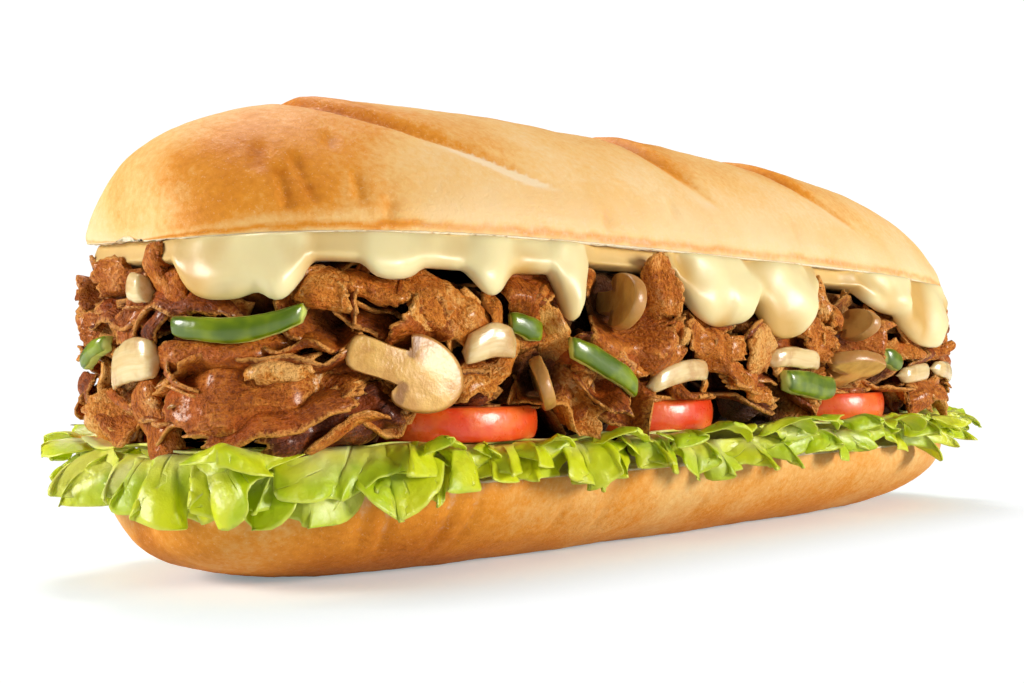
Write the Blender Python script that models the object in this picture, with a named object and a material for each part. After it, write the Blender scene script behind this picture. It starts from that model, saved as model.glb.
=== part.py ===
"""A submarine sandwich: a long scored roll cut in two, filled with lettuce, tomato, shaved beef,
green pepper, mushroom, onion and melted cheese. X runs along the roll, -Y is the near side, Z is up.
A place on the sandwich's side is a distance along the roll's rim, from the left tip, near side first.
"""

import math
import random

import bmesh
import bpy
from mathutils import Euler, Matrix, Vector, noise

MM = 0.001

# Driving sizes of the roll, in metres
HALF_LENGTH = 135.5 * MM
HALF_WIDTH = 42 * MM
TIP_LIFT = 0.6 * MM
LOWER_TOP = 20.4 * MM
LOWER_SUNK = 2.2 * MM
LOWER_SHIFT = 2.5 * MM
LOWER_INSET = 1.2 * MM
UPPER_BASE = 70.2 * MM
UPPER_RISE = 29.8 * MM
LID_DROOP = 4.3 * MM
LID_FALL = 2.1 * MM
LID_ROLL = 0.022

# Levels of the filling, in metres
TOMATO_BASE = 28.2 * MM
TOMATO_RADIUS = 24 * MM
TOMATO_THICKNESS = 7.4 * MM
BEEF_BASE = 36 * MM
BEEF_LOWEST = 29.6 * MM
BEEF_DROP = 5.6 * MM
CHEESE_DROP = 5.0 * MM
CHEESE_HOLLOW = 1.6 * MM
CHEESE_WALL = 3.2 * MM
CHEESE_MIDDLE = -34 * MM
LEAF_THICKNESS = 0.9 * MM
CRUST_GAP = 0.4 * MM
CUT_CLEARANCE = 0.6 * MM

# The slanting scores on the crust
SCORE_PLACES = (-92 * MM, 6 * MM, 78 * MM)
SCORE_LEAN = -0.55
SCORE_DEPTH = 2.6 * MM
SCORE_SWELL = 2.2 * MM
SCORE_WIDTH = 5 * MM
SCORE_REACH = (-190 * MM, 170 * MM)

# Powers of the rounded outlines: 2 is an ellipse, more is squarer
OUTLINE_POWER = 3.8
UPPER_LENGTH_POWER = 3.5
UPPER_SECTION_POWER = 1.75
LOWER_LENGTH_POWER = 4.6
LOWER_SECTION_POWER = 2.0

HEAP_SEED = 7
TABLE_STEPS = 4000
FLATTEN_ANGLES = (6, 4, 2.5, 1.5, 1, 0.5, 0)


def clear_scene():
    for item in list(bpy.data.objects):
        bpy.data.objects.remove(item, do_unlink=True)


def signed_power(value, power):
    return math.copysign(abs(value) ** power, value)


def rim_at_angle(angle, grow=0.0):
    """The roll's plan outline, a superellipse, grown outwards by grow."""
    power = 2 / OUTLINE_POWER
    x = (HALF_LENGTH + grow) * signed_power(math.cos(angle), power)
    y = (HALF_WIDTH + grow) * signed_power(math.sin(angle), power)
    return Vector((x, y, 0))


def rim_lengths():
    """Distance along the rim from the left tip at each of TABLE_STEPS equal steps of angle."""
    total, lengths, last = 0.0, [0.0], rim_at_angle(math.pi)
    for step in range(1, TABLE_STEPS + 1):
        point = rim_at_angle(math.pi + 2 * math.pi * step / TABLE_STEPS)
        total += (point - last).length
        lengths.append(total)
        last = point
    return lengths


RIM_LENGTHS = rim_lengths()
RIM = RIM_LENGTHS[-1]
HALF_RIM = RIM / 2


def rim_angle(distance):
    """The outline's angle at a distance along the rim."""
    distance %= RIM
    low, high = 0, TABLE_STEPS
    while high - low > 1:
        middle = (low + high) // 2
        if RIM_LENGTHS[middle] <= distance:
            low = middle
        else:
            high = middle
    share = (distance - RIM_LENGTHS[low]) / (RIM_LENGTHS[high] - RIM_LENGTHS[low])
    return math.pi + 2 * math.pi * (low + share) / TABLE_STEPS


def rim_point(distance, grow=0.0, height=0.0):
    point = rim_at_angle(rim_angle(distance), grow)
    point.z = height
    return point


def rim_frame(distance, height):
    """Matrix whose X runs along the rim, whose Y points into the roll and whose Z is up."""
    step = 0.5 * MM
    along = (rim_point(distance + step) - rim_point(distance - step)).normalized()
    up = Vector((0, 0, 1))
    inwards = up.cross(along)
    frame = Matrix((along, inwards, up)).transposed().to_4x4()
    frame.translation = rim_point(distance, 0, height)
    return frame


def lid_height(x, y):
    """Height of the upper half's cut face: its ends droop, and it leans a little."""
    share = x / HALF_LENGTH
    return UPPER_BASE - LID_DROOP * share**4 - LID_FALL * share + LID_ROLL * y


def make_material(name, colour, roughness):
    made = bpy.data.materials.new(name)
    made.use_nodes = True
    shader = made.node_tree.nodes["Principled BSDF"]
    shader.inputs["Base Color"].default_value = (*colour, 1)
    shader.inputs["Roughness"].default_value = roughness
    shader.inputs["Metallic"].default_value = 0.0
    return made


def make_object(name, points, faces, material=None):
    mesh = bpy.data.meshes.new(name)
    mesh.from_pydata(points, [], faces)
    work = bmesh.new()
    work.from_mesh(mesh)
    bmesh.ops.recalc_face_normals(work, faces=work.faces)
    work.to_mesh(mesh)
    work.free()
    if material:
        mesh.materials.append(material)
    made = bpy.data.objects.new(name, mesh)
    bpy.context.scene.collection.objects.link(made)
    return made


def loft(name, rings, material=None):
    """A closed solid through rings of points. A ring of one point is a tip."""
    points, faces, starts = [], [], []
    for ring in rings:
        starts.append(len(points))
        points.extend(ring)
    for first, ring, second, following in zip(starts, rings, starts[1:], rings[1:]):
        count = max(len(ring), len(following))
        for k in range(count):
            turn = (k + 1) % count
            if len(ring) == 1:
                faces.append((first, second + k, second + turn))
            elif len(following) == 1:
                faces.append((first + k, second, first + turn))
            else:
                faces.append((first + k, second + k, second + turn, first + turn))
    for start, ring in ((starts[0], rings[0]), (starts[-1], rings[-1])):
        if len(ring) > 1:
            faces.append(tuple(range(start, start + len(ring))))
    return make_object(name, points, faces, material)


def sheet(name, grid, thickness, material=None):
    """A thin solid under a grid of points, both faces split into triangles alike."""
    rows, columns = len(grid), len(grid[0])
    top, bottom = [], []
    for i in range(rows):
        for j in range(columns):
            down = grid[min(i + 1, rows - 1)][j] - grid[max(i - 1, 0)][j]
            across = grid[i][min(j + 1, columns - 1)] - grid[i][max(j - 1, 0)]
            normal = across.cross(down).normalized()
            top.append(grid[i][j] + normal * thickness / 2)
            bottom.append(grid[i][j] - normal * thickness / 2)
    under = rows * columns
    faces = []
    for i in range(rows - 1):
        for j in range(columns - 1):
            a = i * columns + j
            b, c, d = a + 1, a + columns + 1, a + columns
            for corners in ((a, b, c), (a, c, d)):
                faces.append(corners)
                faces.append(tuple(under + k for k in reversed(corners)))
    border = [j for j in range(columns)]
    border += [i * columns + columns - 1 for i in range(1, rows)]
    border += [(rows - 1) * columns + j for j in range(columns - 2, -1, -1)]
    border += [i * columns for i in range(rows - 2, 0, -1)]
    for a, b in zip(border, border[1:] + border[:1]):
        faces.append((a, a + under, b + under))
        faces.append((a, b + under, b))
    return make_object(name, top + bottom, faces, material)


def score_relief(x, y, rise):
    """Swell of the crust between the slanting scores, and the groove before each one."""
    place = x - SCORE_LEAN * y
    stops = (SCORE_REACH[0], *SCORE_PLACES, SCORE_REACH[1])
    relief = 0.0
    for low, high in zip(stops, stops[1:]):
        if low <= place < high:
            share = (place - low) / (high - low)
            relief = SCORE_SWELL * min(1.0, 6 * share) * math.sqrt(max(0.0, 1 - share**2))
    for score in SCORE_PLACES:
        away = (place - score) / SCORE_WIDTH
        relief -= SCORE_DEPTH * math.exp(-2.5 * (away + 0.5) ** 2)
    fade = max(0.0, min(1.0, 1.6 * (rise - 0.35)))
    return relief * fade


def station(step, steps):
    """Shares of the half length, closer together towards the two tips."""
    return math.sin(math.pi * (step / steps - 0.5))


def profile(share, power):
    return max(0.0, 1 - abs(share) ** power) ** (1 / power)


def upper_half(material, steps=38, arc=12, floor=2):
    """The domed upper half of the roll, with its scores, over its drooping cut face."""
    rings = []
    for step in range(steps + 1):
        share = station(step, steps)
        x = HALF_LENGTH * share
        width = HALF_WIDTH * profile(share, OUTLINE_POWER)
        rise = UPPER_RISE * profile(share, UPPER_LENGTH_POWER) * (1 - 0.025 * share)
        if step in (0, steps):
            rings.append([Vector((x, 0, lid_height(x, 0) + TIP_LIFT))])
            continue
        ring = []
        for k in range(arc + 1):
            turn = math.pi * k / arc
            y = -width * signed_power(math.cos(turn), 2 / UPPER_SECTION_POWER)
            up = abs(math.sin(turn)) ** (2 / UPPER_SECTION_POWER)
            relief = score_relief(x, y, up) * min(1.0, rise / (12 * MM))
            ring.append(Vector((x, y, lid_height(x, y) + rise * up + relief)))
        for k in range(1, floor):
            y = width * (1 - 2 * k / floor)
            ring.append(Vector((x, y, lid_height(x, y))))
        rings.append(ring)
    return loft("bun_top", rings, material)


def lower_half(material, steps=30, arc=12, floor=3):
    """The shallow lower half of the roll, resting on a narrow flat."""
    rings = []
    for step in range(steps + 1):
        share = station(step, steps)
        x = LOWER_SHIFT + (HALF_LENGTH - LOWER_INSET) * share
        width = (HALF_WIDTH - LOWER_INSET) * profile(share, OUTLINE_POWER)
        depth = (LOWER_TOP + LOWER_SUNK) * profile(share, LOWER_LENGTH_POWER)
        if step in (0, steps):
            rings.append([Vector((x, 0, LOWER_TOP - TIP_LIFT))])
            continue
        ring = []
        for k in range(arc + 1):
            turn = math.pi * k / arc
            y = -width * signed_power(math.cos(turn), 2 / LOWER_SECTION_POWER)
            down = abs(math.sin(turn)) ** (2 / LOWER_SECTION_POWER)
            ring.append(Vector((x, y, max(0.0, LOWER_TOP - depth * down))))
        for k in range(1, floor):
            y = width * (1 - 2 * k / floor)
            ring.append(Vector((x, y, LOWER_TOP)))
        rings.append(ring)
    return loft("bun_bottom", rings, material)


LEAVES = (
    # name, start and end along the rim, wave length, phase
    ("lettuce_near_left", -24 * MM, 128 * MM, 29 * MM, 0.4),
    ("lettuce_near_right", 131.5 * MM, 294 * MM, 27 * MM, 1.7),
    ("lettuce_far_right", 297.5 * MM, 448 * MM, 30 * MM, 0.9),
    ("lettuce_far_left", 451.5 * MM, 612 * MM, 28 * MM, 2.6),
)
LEAF_ROWS = (
    # growth beyond the rim, height, swing up and down, swing in and out
    (-24 * MM, 23.6 * MM, 0.0, 0.0),
    (-6 * MM, 24.0 * MM, 1.9 * MM, 0.4 * MM),
    (3.4 * MM, 24.2 * MM, 3.3 * MM, 1.6 * MM),
    (8.4 * MM, 22.6 * MM, 6.0 * MM, 2.4 * MM),
)


def leaf(name, start, end, wave, phase, material, columns=28):
    """One frilled leaf along part of the rim: flat under the filling, ruffled outside."""
    grid = []
    for grow, height, swing, sway in LEAF_ROWS:
        row = []
        for j in range(columns):
            distance = start + (end - start) * j / (columns - 1)
            turn = 2 * math.pi * distance / wave + phase
            drift = noise.noise(Vector((distance / (31 * MM), grow / (25 * MM), phase)))
            up = swing * (math.sin(turn) + 0.5 * drift)
            out = sway * math.cos(turn + 0.6)
            row.append(rim_point(distance, grow + out, height + up))
        grid.append(row)
    return sheet(name, grid, LEAF_THICKNESS, material)


TOMATO_PLACES = {
    "tomato_near_left": (-75 * MM, -19.4 * MM),
    "tomato_near_middle": (-14 * MM, -19.4 * MM),
    "tomato_near_right": (64 * MM, -19.2 * MM),
    "tomato_far_left": (-107 * MM, 16.6 * MM),
    "tomato_far_middle": (-44.5 * MM, 18.6 * MM),
    "tomato_far_right": (16 * MM, 19.4 * MM),
    "tomato_far_end": (99.5 * MM, 15.8 * MM),
}


def tomato(name, centre, material, grow=0.0, sides=20):
    """A flat round slice with a rounded skin edge."""
    radius, half = TOMATO_RADIUS + grow, TOMATO_THICKNESS / 2 + grow
    middle = Vector((*centre, TOMATO_BASE + TOMATO_THICKNESS / 2))
    rings = []
    for level, share in ((-1, 0.95), (0, 1), (1, 0.95)):
        rings.append(
            [
                middle
                + Vector(
                    (
                        radius * share * math.cos(2 * math.pi * k / sides),
                        radius * share * math.sin(2 * math.pi * k / sides),
                        half * level,
                    )
                )
                for k in range(sides)
            ]
        )
    return loft(name, rings, material)


CHEESE_EDGE = 66 * MM
CHEESE_RUNS = (
    # middle along the rim, half width and lowest height, in mm, and how square the run is
    (62, 51, 62.6, 9),
    (27, 10.5, 56.4, 2.4),
    (37.5, 5, 56.2, 2),
    (60, 8, 60.8, 2),
    (83, 6, 58, 1.6),
    (105, 4.2, 53.2, 3),
    (168, 30, 59.5, 5),
    (155, 14, 52.6, 2.2),
    (181, 11.5, 50, 2.4),
    (247, 33, 56.5, 2.2),
    (252, 17, 47.9, 2.4),
)


def cheese_tip(distance):
    """Height of the cheese's lower edge. The far side repeats the near one, end for end."""
    place = (distance % HALF_RIM) / MM
    tip = CHEESE_EDGE
    for middle, half, lowest, power in CHEESE_RUNS:
        share = min(1.0, abs(place - middle) / half)
        run = math.sqrt(1 - share**power)
        tip = min(tip, CHEESE_EDGE - (CHEESE_EDGE - lowest * MM) * run)
    return tip


def cheese_shoulder(distance):
    """How far the cheese stands out beyond the rim: more where it hangs lower."""
    hang = (CHEESE_EDGE - cheese_tip(distance)) / (CHEESE_EDGE - 48 * MM)
    return -0.8 * MM + 5.6 * MM * math.sqrt(max(0.0, min(1.0, hang)))


def cheese_stations(count=96):
    """Even places round the rim, with one at the middle of each run."""
    middles = [side + run[0] * MM for side in (0, HALF_RIM) for run in CHEESE_RUNS]
    pitch = RIM / count
    even = [k * pitch for k in range(count)]
    clear = [place for place in even if min(abs(place - m) for m in middles) > 0.3 * pitch]
    return sorted(clear + middles)


def melted_cheese(name, material, grow=0.0):
    """A layer over the beef whose edge hangs down the sides in runs."""
    rings = [[] for _ in range(8)]
    wall = CHEESE_WALL + 2 * grow
    for distance in cheese_stations():
        out = cheese_shoulder(distance) + grow
        tip = cheese_tip(distance) - grow
        edge = rim_point(distance, out - wall / 2)
        lid = lid_height(edge.x, edge.y)
        under, top = lid - CHEESE_DROP - grow, lid - CRUST_GAP + grow
        middle = rim_point(distance, CHEESE_MIDDLE)
        middle_lid = lid_height(middle.x, middle.y)
        hangs = tip < under - 0.6 * MM
        section = [(CHEESE_MIDDLE, middle_lid - CHEESE_DROP + CHEESE_HOLLOW - grow)]
        section.append((out - wall - 2.5 * MM, under))
        if hangs:
            section.append((out - wall - 0.2 * MM, (under + tip) / 2))
            section.append((out - 0.55 * wall, tip))
            section.append((out + 0.1 * MM, tip + 1.2 * MM))
            section.append((out - 0.2 * MM, top - 0.35 * (top - tip)))
        else:
            section.append((out - wall - 1.2 * MM, under))
            section.append((out - 0.55 * wall, under + 0.2 * MM))
            section.append((out + 0.1 * MM, under + 0.9 * MM))
            section.append((out - 0.2 * MM, under + 1.6 * MM))
        section.append((out - 2.6 * MM, top - 0.25 * MM))
        section.append((CHEESE_MIDDLE, middle_lid - CRUST_GAP - 0.3 * MM + grow))
        for ring, (reach, height) in zip(rings, section):
            ring.append(rim_point(distance, reach, height))
    return loft(name, rings, material)


def ribbon(name, start, end, heights, size, bow=0.0, out=0.0, grow=0.0, material=None):
    """A strip along the side, from one rim distance to another. size is its height and depth.
    Grown, it is a plain four-sided cutter that holds the strip.
    """
    tall, deep = size[0] / 2 + grow, size[1] / 2 + grow
    section, steps = ((-1, 0), (-0.6, 1), (0.6, 1), (1, 0), (0.6, -1), (-0.6, -1)), 7
    if grow:
        section, steps = ((-1, -1), (-1, 1), (1, 1), (1, -1)), 4
    rings = []
    reach = grow / (end - start)
    for k in range(steps):
        share = k / (steps - 1)
        place = share + (2 * share - 1) * reach
        taper = 0.72 + 0.28 * math.sin(math.pi * share) ** 0.5
        distance = start + (end - start) * place
        height = heights[0] + (heights[1] - heights[0]) * place + bow * math.sin(math.pi * share)
        rings.append(
            [
                rim_point(distance, out + deep * across, height + tall * taper * up)
                for up, across in section
            ]
        )
    return loft(name, rings, material)


def mushroom_hull(width, length):
    """A plain outline that holds the whole cut face of a sliced mushroom."""
    turns = [math.pi * k / 3 for k in range(4)]
    cap = [(0.56 * width * math.cos(turn), 0.48 * length * math.sin(turn)) for turn in turns]
    return cap + [(-0.24 * width, -0.6 * length), (0.24 * width, -0.6 * length)]


def mushroom_outline(width, length):
    """The cut face of a sliced mushroom: a domed cap with rolled ends over a flared stem."""
    turns = [math.pi * k / 8 for k in range(9)]
    cap = [(0.5 * width * math.cos(turn), 0.42 * length * math.sin(turn)) for turn in turns]
    stem_top, stem_low = 0.2 * width, 0.24 * width
    return cap + [
        (-0.46 * width, -0.13 * length),
        (-0.34 * width, -0.15 * length),
        (-stem_top, -0.03 * length),
        (-0.9 * stem_top, -0.32 * length),
        (-stem_low, -0.55 * length),
        (0, -0.58 * length),
        (stem_low, -0.55 * length),
        (0.9 * stem_top, -0.32 * length),
        (stem_top, -0.03 * length),
        (0.34 * width, -0.15 * length),
        (0.46 * width, -0.13 * length),
    ]


def grown_outline(outline, grow):
    """A closed outline moved outwards by grow along its own normals."""
    points = [Vector(point) for point in outline]
    grown = []
    for k, point in enumerate(points):
        arriving = (point - points[k - 1]).normalized()
        leaving = (points[(k + 1) % len(points)] - point).normalized()
        first, second = Vector((arriving.y, -arriving.x)), Vector((leaving.y, -leaving.x))
        between = (first + second).normalized()
        grown.append(point + between * grow / max(0.5, between.dot(first)))
    return grown


def mushroom(name, distance, height, size, turn, out=0.0, grow=0.0, material=None):
    """A mushroom slice set against the side. size is its width, length and thickness.
    Grown, it is a plain cutter that holds the slice.
    """
    width, length, thick = size
    place = rim_frame(distance, height) @ Matrix.Translation((0, -out, 0))
    place = place @ Euler(turn).to_matrix().to_4x4()
    outline, levels = mushroom_outline(width, length), ((-1, 0.92), (0, 1), (1, 0.92))
    if grow:
        outline, levels = grown_outline(mushroom_hull(width, length), grow), ((-1, 1), (1, 1))
    rings = []
    for level, share in levels:
        ring = []
        for x, z in outline:
            ring.append(place @ Vector((x * share, level * (thick / 2 + grow), z * share)))
        rings.append(ring)
    return loft(name, rings, material)


# Toppings of the near side: start and end along the rim, heights at both, size, bow, stand-out
PEPPERS = {
    "pepper_long": (17.5, 42.5, (51.6, 53.8), (4.8, 3.4), -2.0, 1.6),
    "pepper_slanting": (104.5, 125, (47.8, 38.6), (5.6, 3.2), 0.8, 2.4),
    "pepper_lens": (182, 203, (39.4, 36.8), (6.6, 3.4), 0.0, 1.4),
    "pepper_tuck_left": (88.5, 97.5, (52.6, 50.6), (5.0, 2.8), 0.0, 0.2),
    "pepper_tuck_right": (232, 240.5, (45.2, 43.4), (5.4, 2.6), 0.0, 0.4),
    "pepper_end": (624, 634, (44.2, 48.2), (3.8, 2.6), 0.6, 1.0),
}
ONIONS = {
    "onion_band": (76, 90.2, (46.6, 48.0), (6.4, 3.0), 1.6, 2.2),
    "onion_end": (-4, 12.5, (42.0, 45.0), (7.6, 2.8), 1.4, 1.4),
    "onion_tuck": (131, 153, (38.4, 41.6), (4.6, 2.8), 1.8, 1.2),
    "onion_flat": (175, 197.5, (44.6, 44.0), (4.6, 3.0), 0.8, 2.2),
    "onion_back": (243, 261, (39.6, 40.6), (4.6, 2.6), 0.6, 1.0),
    "onion_tail": (264.5, 283, (41.6, 38.8), (4.4, 2.6), 0.8, 2.0),
    "onion_bit": (3.4, 9.6, (58.8, 58.2), (5.2, 3.2), 0.2, 1.6),
}
# Mushroom slices: place, height, (width, length, thickness), turn in degrees, stand-out
MUSHROOMS = {
    "mushroom_cap_left": (65, 42.6, (15.5, 27, 3.6), (8, 108, 4), 3.4),
    "mushroom_edge_high": (121.5, 57.6, (13, 22, 3.8), (78, -80, 6), 1.2),
    "mushroom_edge_low": (97.5, 40.2, (12, 20, 3.4), (70, -112, 0), 0.8),
    "mushroom_cap_right": (214, 42.0, (21, 16, 3.6), (60, 8, 0), 1.4),
    "mushroom_stem_right": (215.5, 53.6, (9, 17, 3.2), (72, -70, 4), 0.6),
}
# The far side repeats these, turned end for end
FAR_TOPPINGS = (
    "pepper_long",
    "pepper_slanting",
    "pepper_lens",
    "onion_band",
    "onion_tuck",
    "onion_flat",
    "onion_tail",
    "mushroom_cap_left",
    "mushroom_edge_high",
    "mushroom_cap_right",
)


def topping(name, materials, grow=0.0, far=False):
    """The named topping, or its repeat on the far side."""
    label = f"far_{name}" if far else name
    shift = HALF_RIM if far else 0.0
    if name in MUSHROOMS:
        place, height, size, turn, out = MUSHROOMS[name]
        angles = [math.radians(a) for a in turn]
        sides = [side * MM for side in size]
        spot = shift + place * MM
        return mushroom(label, spot, height * MM, sides, angles, out * MM, grow, materials["mushroom"])
    kind = "pepper" if name in PEPPERS else "onion"
    start, end, heights, size, bow, out = (PEPPERS | ONIONS)[name]
    return ribbon(
        label,
        shift + start * MM,
        shift + end * MM,
        [h * MM for h in heights],
        [s * MM for s in size],
        bow * MM,
        out * MM,
        grow,
        materials[kind],
    )


def all_toppings():
    near = [(name, False) for name in (*PEPPERS, *ONIONS, *MUSHROOMS)]
    return near + [(name, True) for name in FAR_TOPPINGS]


def beef_core(around=40):
    """The bare heap of beef that everything else is fitted to."""
    levels = ((-7.5, 0.0), (-3.6, 0.25), (-3.6, 0.7), (-6.5, 1.0))
    rings = []
    for grow, share in levels:
        ring = []
        for k in range(around):
            distance = RIM * k / around
            lump = 2.2 * MM * noise.noise(Vector((distance / (14 * MM), share * 3.1, 4.2)))
            point = rim_point(distance, grow * MM + lump * (0 < share < 1))
            top = lid_height(point.x, point.y) - BEEF_DROP
            point.z = BEEF_BASE + (top - BEEF_BASE) * share
            ring.append(point)
        rings.append(ring)
    return loft("beef_heap", rings)


def shaving(name, distance, height, draw):
    """One bent slice of shaved beef lying against the heap."""
    length = draw.uniform(22, 32) * MM
    width = draw.uniform(12, 17) * MM
    thick = draw.uniform(2.6, 3.8) * MM
    bend = draw.uniform(-0.9, 1.3)
    turn = Euler((draw.uniform(-1.1, -0.2), draw.uniform(-0.5, 0.5), draw.uniform(-0.3, 0.3)))
    out = draw.uniform(-2.0, 1.6) * MM
    place = rim_frame(distance, height) @ Matrix.Translation((0, -out, 0)) @ turn.to_matrix().to_4x4()
    grid = []
    for i in range(3):
        row = []
        for j in range(3):
            across, along = i / 2 - 0.5, j / 2 - 0.5
            taper = 1 - 0.35 * abs(2 * along) ** 2
            rag = 0.12 * draw.uniform(-1, 1)
            local = Vector((length * (along + rag * 0.3), 0, width * across * (taper + rag)))
            local.y = bend * (0.25 * length * along**2 + 0.5 * width * across**2)
            row.append(place @ local)
        grid.append(row)
    return sheet(name, grid, thick)


def cutting_block(name, under, over, steps=12):
    """A block wider than the sandwich, between two heights that depend on x and y."""
    side = HALF_WIDTH + 40 * MM
    rings = []
    for step in range(steps + 1):
        x = (HALF_LENGTH + 40 * MM) * (2 * step / steps - 1)
        rings.append(
            [
                Vector((x, -side, under(x, -side))),
                Vector((x, side, under(x, side))),
                Vector((x, side, over(x, side))),
                Vector((x, -side, over(x, -side))),
            ]
        )
    return loft(name, rings)


def apply_boolean(target, helpers, operation):
    """Joins or cuts the helpers, applies the result and removes them."""
    group = bpy.data.collections.new("helpers")
    bpy.context.scene.collection.children.link(group)
    for helper in helpers:
        bpy.context.scene.collection.objects.unlink(helper)
        group.objects.link(helper)
    modifier = target.modifiers.new(operation.lower(), "BOOLEAN")
    modifier.operation = operation
    modifier.operand_type = "COLLECTION"
    modifier.collection = group
    modifier.solver = "MANIFOLD"
    graph = bpy.context.evaluated_depsgraph_get()
    mesh = bpy.data.meshes.new_from_object(target.evaluated_get(graph))
    target.modifiers.clear()
    target.data = mesh
    for helper in helpers:
        bpy.data.objects.remove(helper, do_unlink=True)
    bpy.data.collections.remove(group)


def islands(work):
    """The faces of each connected piece of a mesh."""
    left, found = set(work.faces), []
    while left:
        stack = [left.pop()]
        piece = []
        while stack:
            face = stack.pop()
            piece.append(face)
            for edge in face.edges:
                for other in edge.link_faces:
                    if other in left:
                        left.remove(other)
                        stack.append(other)
        found.append(piece)
    return found


def keep_main_piece(item):
    """Drops loose scraps and fills sealed hollows: only the largest outer skin stays."""
    work = bmesh.new()
    work.from_mesh(item.data)
    pieces = sorted(islands(work), key=len, reverse=True)
    scraps = [face for piece in pieces[1:] for face in piece]
    bmesh.ops.delete(work, geom=scraps, context="FACES")
    loose = [vertex for vertex in work.verts if not vertex.link_faces]
    bmesh.ops.delete(work, geom=loose, context="VERTS")
    work.to_mesh(item.data)
    work.free()


def flatten(item):
    """Joins nearly flat neighbouring faces, as far as the mesh stays closed, into few triangles."""
    for angle in FLATTEN_ANGLES:
        work = bmesh.new()
        work.from_mesh(item.data)
        limit = math.radians(angle)
        bmesh.ops.dissolve_limit(work, angle_limit=limit, verts=work.verts, edges=work.edges)
        bmesh.ops.triangulate(work, faces=work.faces)
        closed = all(edge.is_manifold for edge in work.edges)
        if closed:
            work.to_mesh(item.data)
        work.free()
        if closed:
            break


SHAVING_ROWS = (
    # height, pitch along the rim and offset as a share of the pitch
    (36 * MM, 31 * MM, 0.0),
    (45.5 * MM, 31 * MM, 0.5),
    (55 * MM, 24 * MM, 0.25),
)
CHEESE_WATCH = (-10 * MM, -5 * MM, 0, 5 * MM, 10 * MM)


def beef_shavings():
    """Slices in rows round the heap, left out where hanging cheese would hide them."""
    draw = random.Random(HEAP_SEED)
    shavings = []
    for height, pitch, offset in SHAVING_ROWS:
        count = round(RIM / pitch)
        for k in range(count):
            distance = RIM * (k + offset) / count + draw.uniform(-4, 4) * MM
            level = height + draw.uniform(-3, 3) * MM
            lowest_cheese = min(cheese_tip(distance + step) for step in CHEESE_WATCH)
            if level < lowest_cheese - 5 * MM:
                shavings.append(shaving(f"shaving_{len(shavings)}", distance, level, draw))
    return shavings


def beef_heap(materials):
    """Core and fused shavings, cut back from the toppings, tomatoes, cheese, lettuce and roll."""
    heap = beef_core()
    apply_boolean(heap, beef_shavings(), "UNION")
    grow = CUT_CLEARANCE
    cutters = [topping(name, materials, grow, far) for name, far in all_toppings()]
    cutters += [tomato(f"cut_{name}", at, None, grow) for name, at in TOMATO_PLACES.items()]
    cutters.append(melted_cheese("cut_cheese", None, grow))
    cutters.append(cutting_block("cut_below", lambda x, y: -5 * MM, lambda x, y: BEEF_LOWEST, 1))
    cutters.append(
        cutting_block("cut_above", lambda x, y: lid_height(x, y) - 1.2 * MM, lambda x, y: 120 * MM)
    )
    apply_boolean(heap, cutters, "DIFFERENCE")
    keep_main_piece(heap)
    flatten(heap)
    heap.data.materials.clear()
    heap.data.materials.append(materials["beef"])
    return heap


def all_materials():
    return {
        "crust": make_material("crust", (0.72, 0.42, 0.17), 0.45),
        "lettuce": make_material("lettuce", (0.36, 0.52, 0.06), 0.4),
        "tomato": make_material("tomato", (0.75, 0.09, 0.03), 0.22),
        "beef": make_material("beef", (0.26, 0.11, 0.04), 0.4),
        "cheese": make_material("cheese", (0.85, 0.72, 0.4), 0.3),
        "pepper": make_material("pepper", (0.16, 0.36, 0.03), 0.25),
        "onion": make_material("onion", (0.74, 0.6, 0.36), 0.3),
        "mushroom": make_material("mushroom", (0.62, 0.4, 0.2), 0.45),
    }


def build_sandwich():
    clear_scene()
    materials = all_materials()
    upper_half(materials["crust"])
    lower_half(materials["crust"])
    for name, start, end, wave, phase in LEAVES:
        leaf(name, start, end, wave, phase, materials["lettuce"])
    for name, centre in TOMATO_PLACES.items():
        tomato(name, centre, materials["tomato"])
    beef_heap(materials)
    melted_cheese("melted_cheese", materials["cheese"])
    for name, far in all_toppings():
        topping(name, materials, 0.0, far)
    for item in bpy.context.scene.objects:
        item.data.shade_smooth()
        item.data.set_sharp_from_angle(angle=math.radians(40))


build_sandwich()
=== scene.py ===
"""The looks of the submarine sandwich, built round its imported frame.
X runs along the roll, -Y is the side that shows, Z is up, and sizes are in metres.
A place on the side is a distance along the roll's rim, from the left tip, near side first.
"""

import math
import random

import bmesh
import bpy
import numpy as np
from mathutils import Euler, Matrix


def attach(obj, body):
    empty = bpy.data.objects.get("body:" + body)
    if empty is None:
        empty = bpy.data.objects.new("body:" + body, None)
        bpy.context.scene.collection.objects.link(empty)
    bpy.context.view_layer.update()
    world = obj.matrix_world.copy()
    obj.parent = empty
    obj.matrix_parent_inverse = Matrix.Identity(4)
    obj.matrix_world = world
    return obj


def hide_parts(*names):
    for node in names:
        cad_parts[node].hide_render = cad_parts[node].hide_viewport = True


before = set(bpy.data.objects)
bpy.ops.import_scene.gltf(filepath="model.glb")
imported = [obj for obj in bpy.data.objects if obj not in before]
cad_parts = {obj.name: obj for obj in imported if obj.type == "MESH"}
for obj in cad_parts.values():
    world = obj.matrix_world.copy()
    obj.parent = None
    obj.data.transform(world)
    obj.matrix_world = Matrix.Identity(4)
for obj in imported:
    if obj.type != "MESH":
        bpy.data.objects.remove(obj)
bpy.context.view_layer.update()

MM = 0.001

# Camera, as fitted to the photograph
CAMERA_PLACE = (-0.2710, -0.2481, 0.0467)
CAMERA_TURN = (90.40, 0.0, -44.06)
CAMERA_LENS = 49.22

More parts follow.
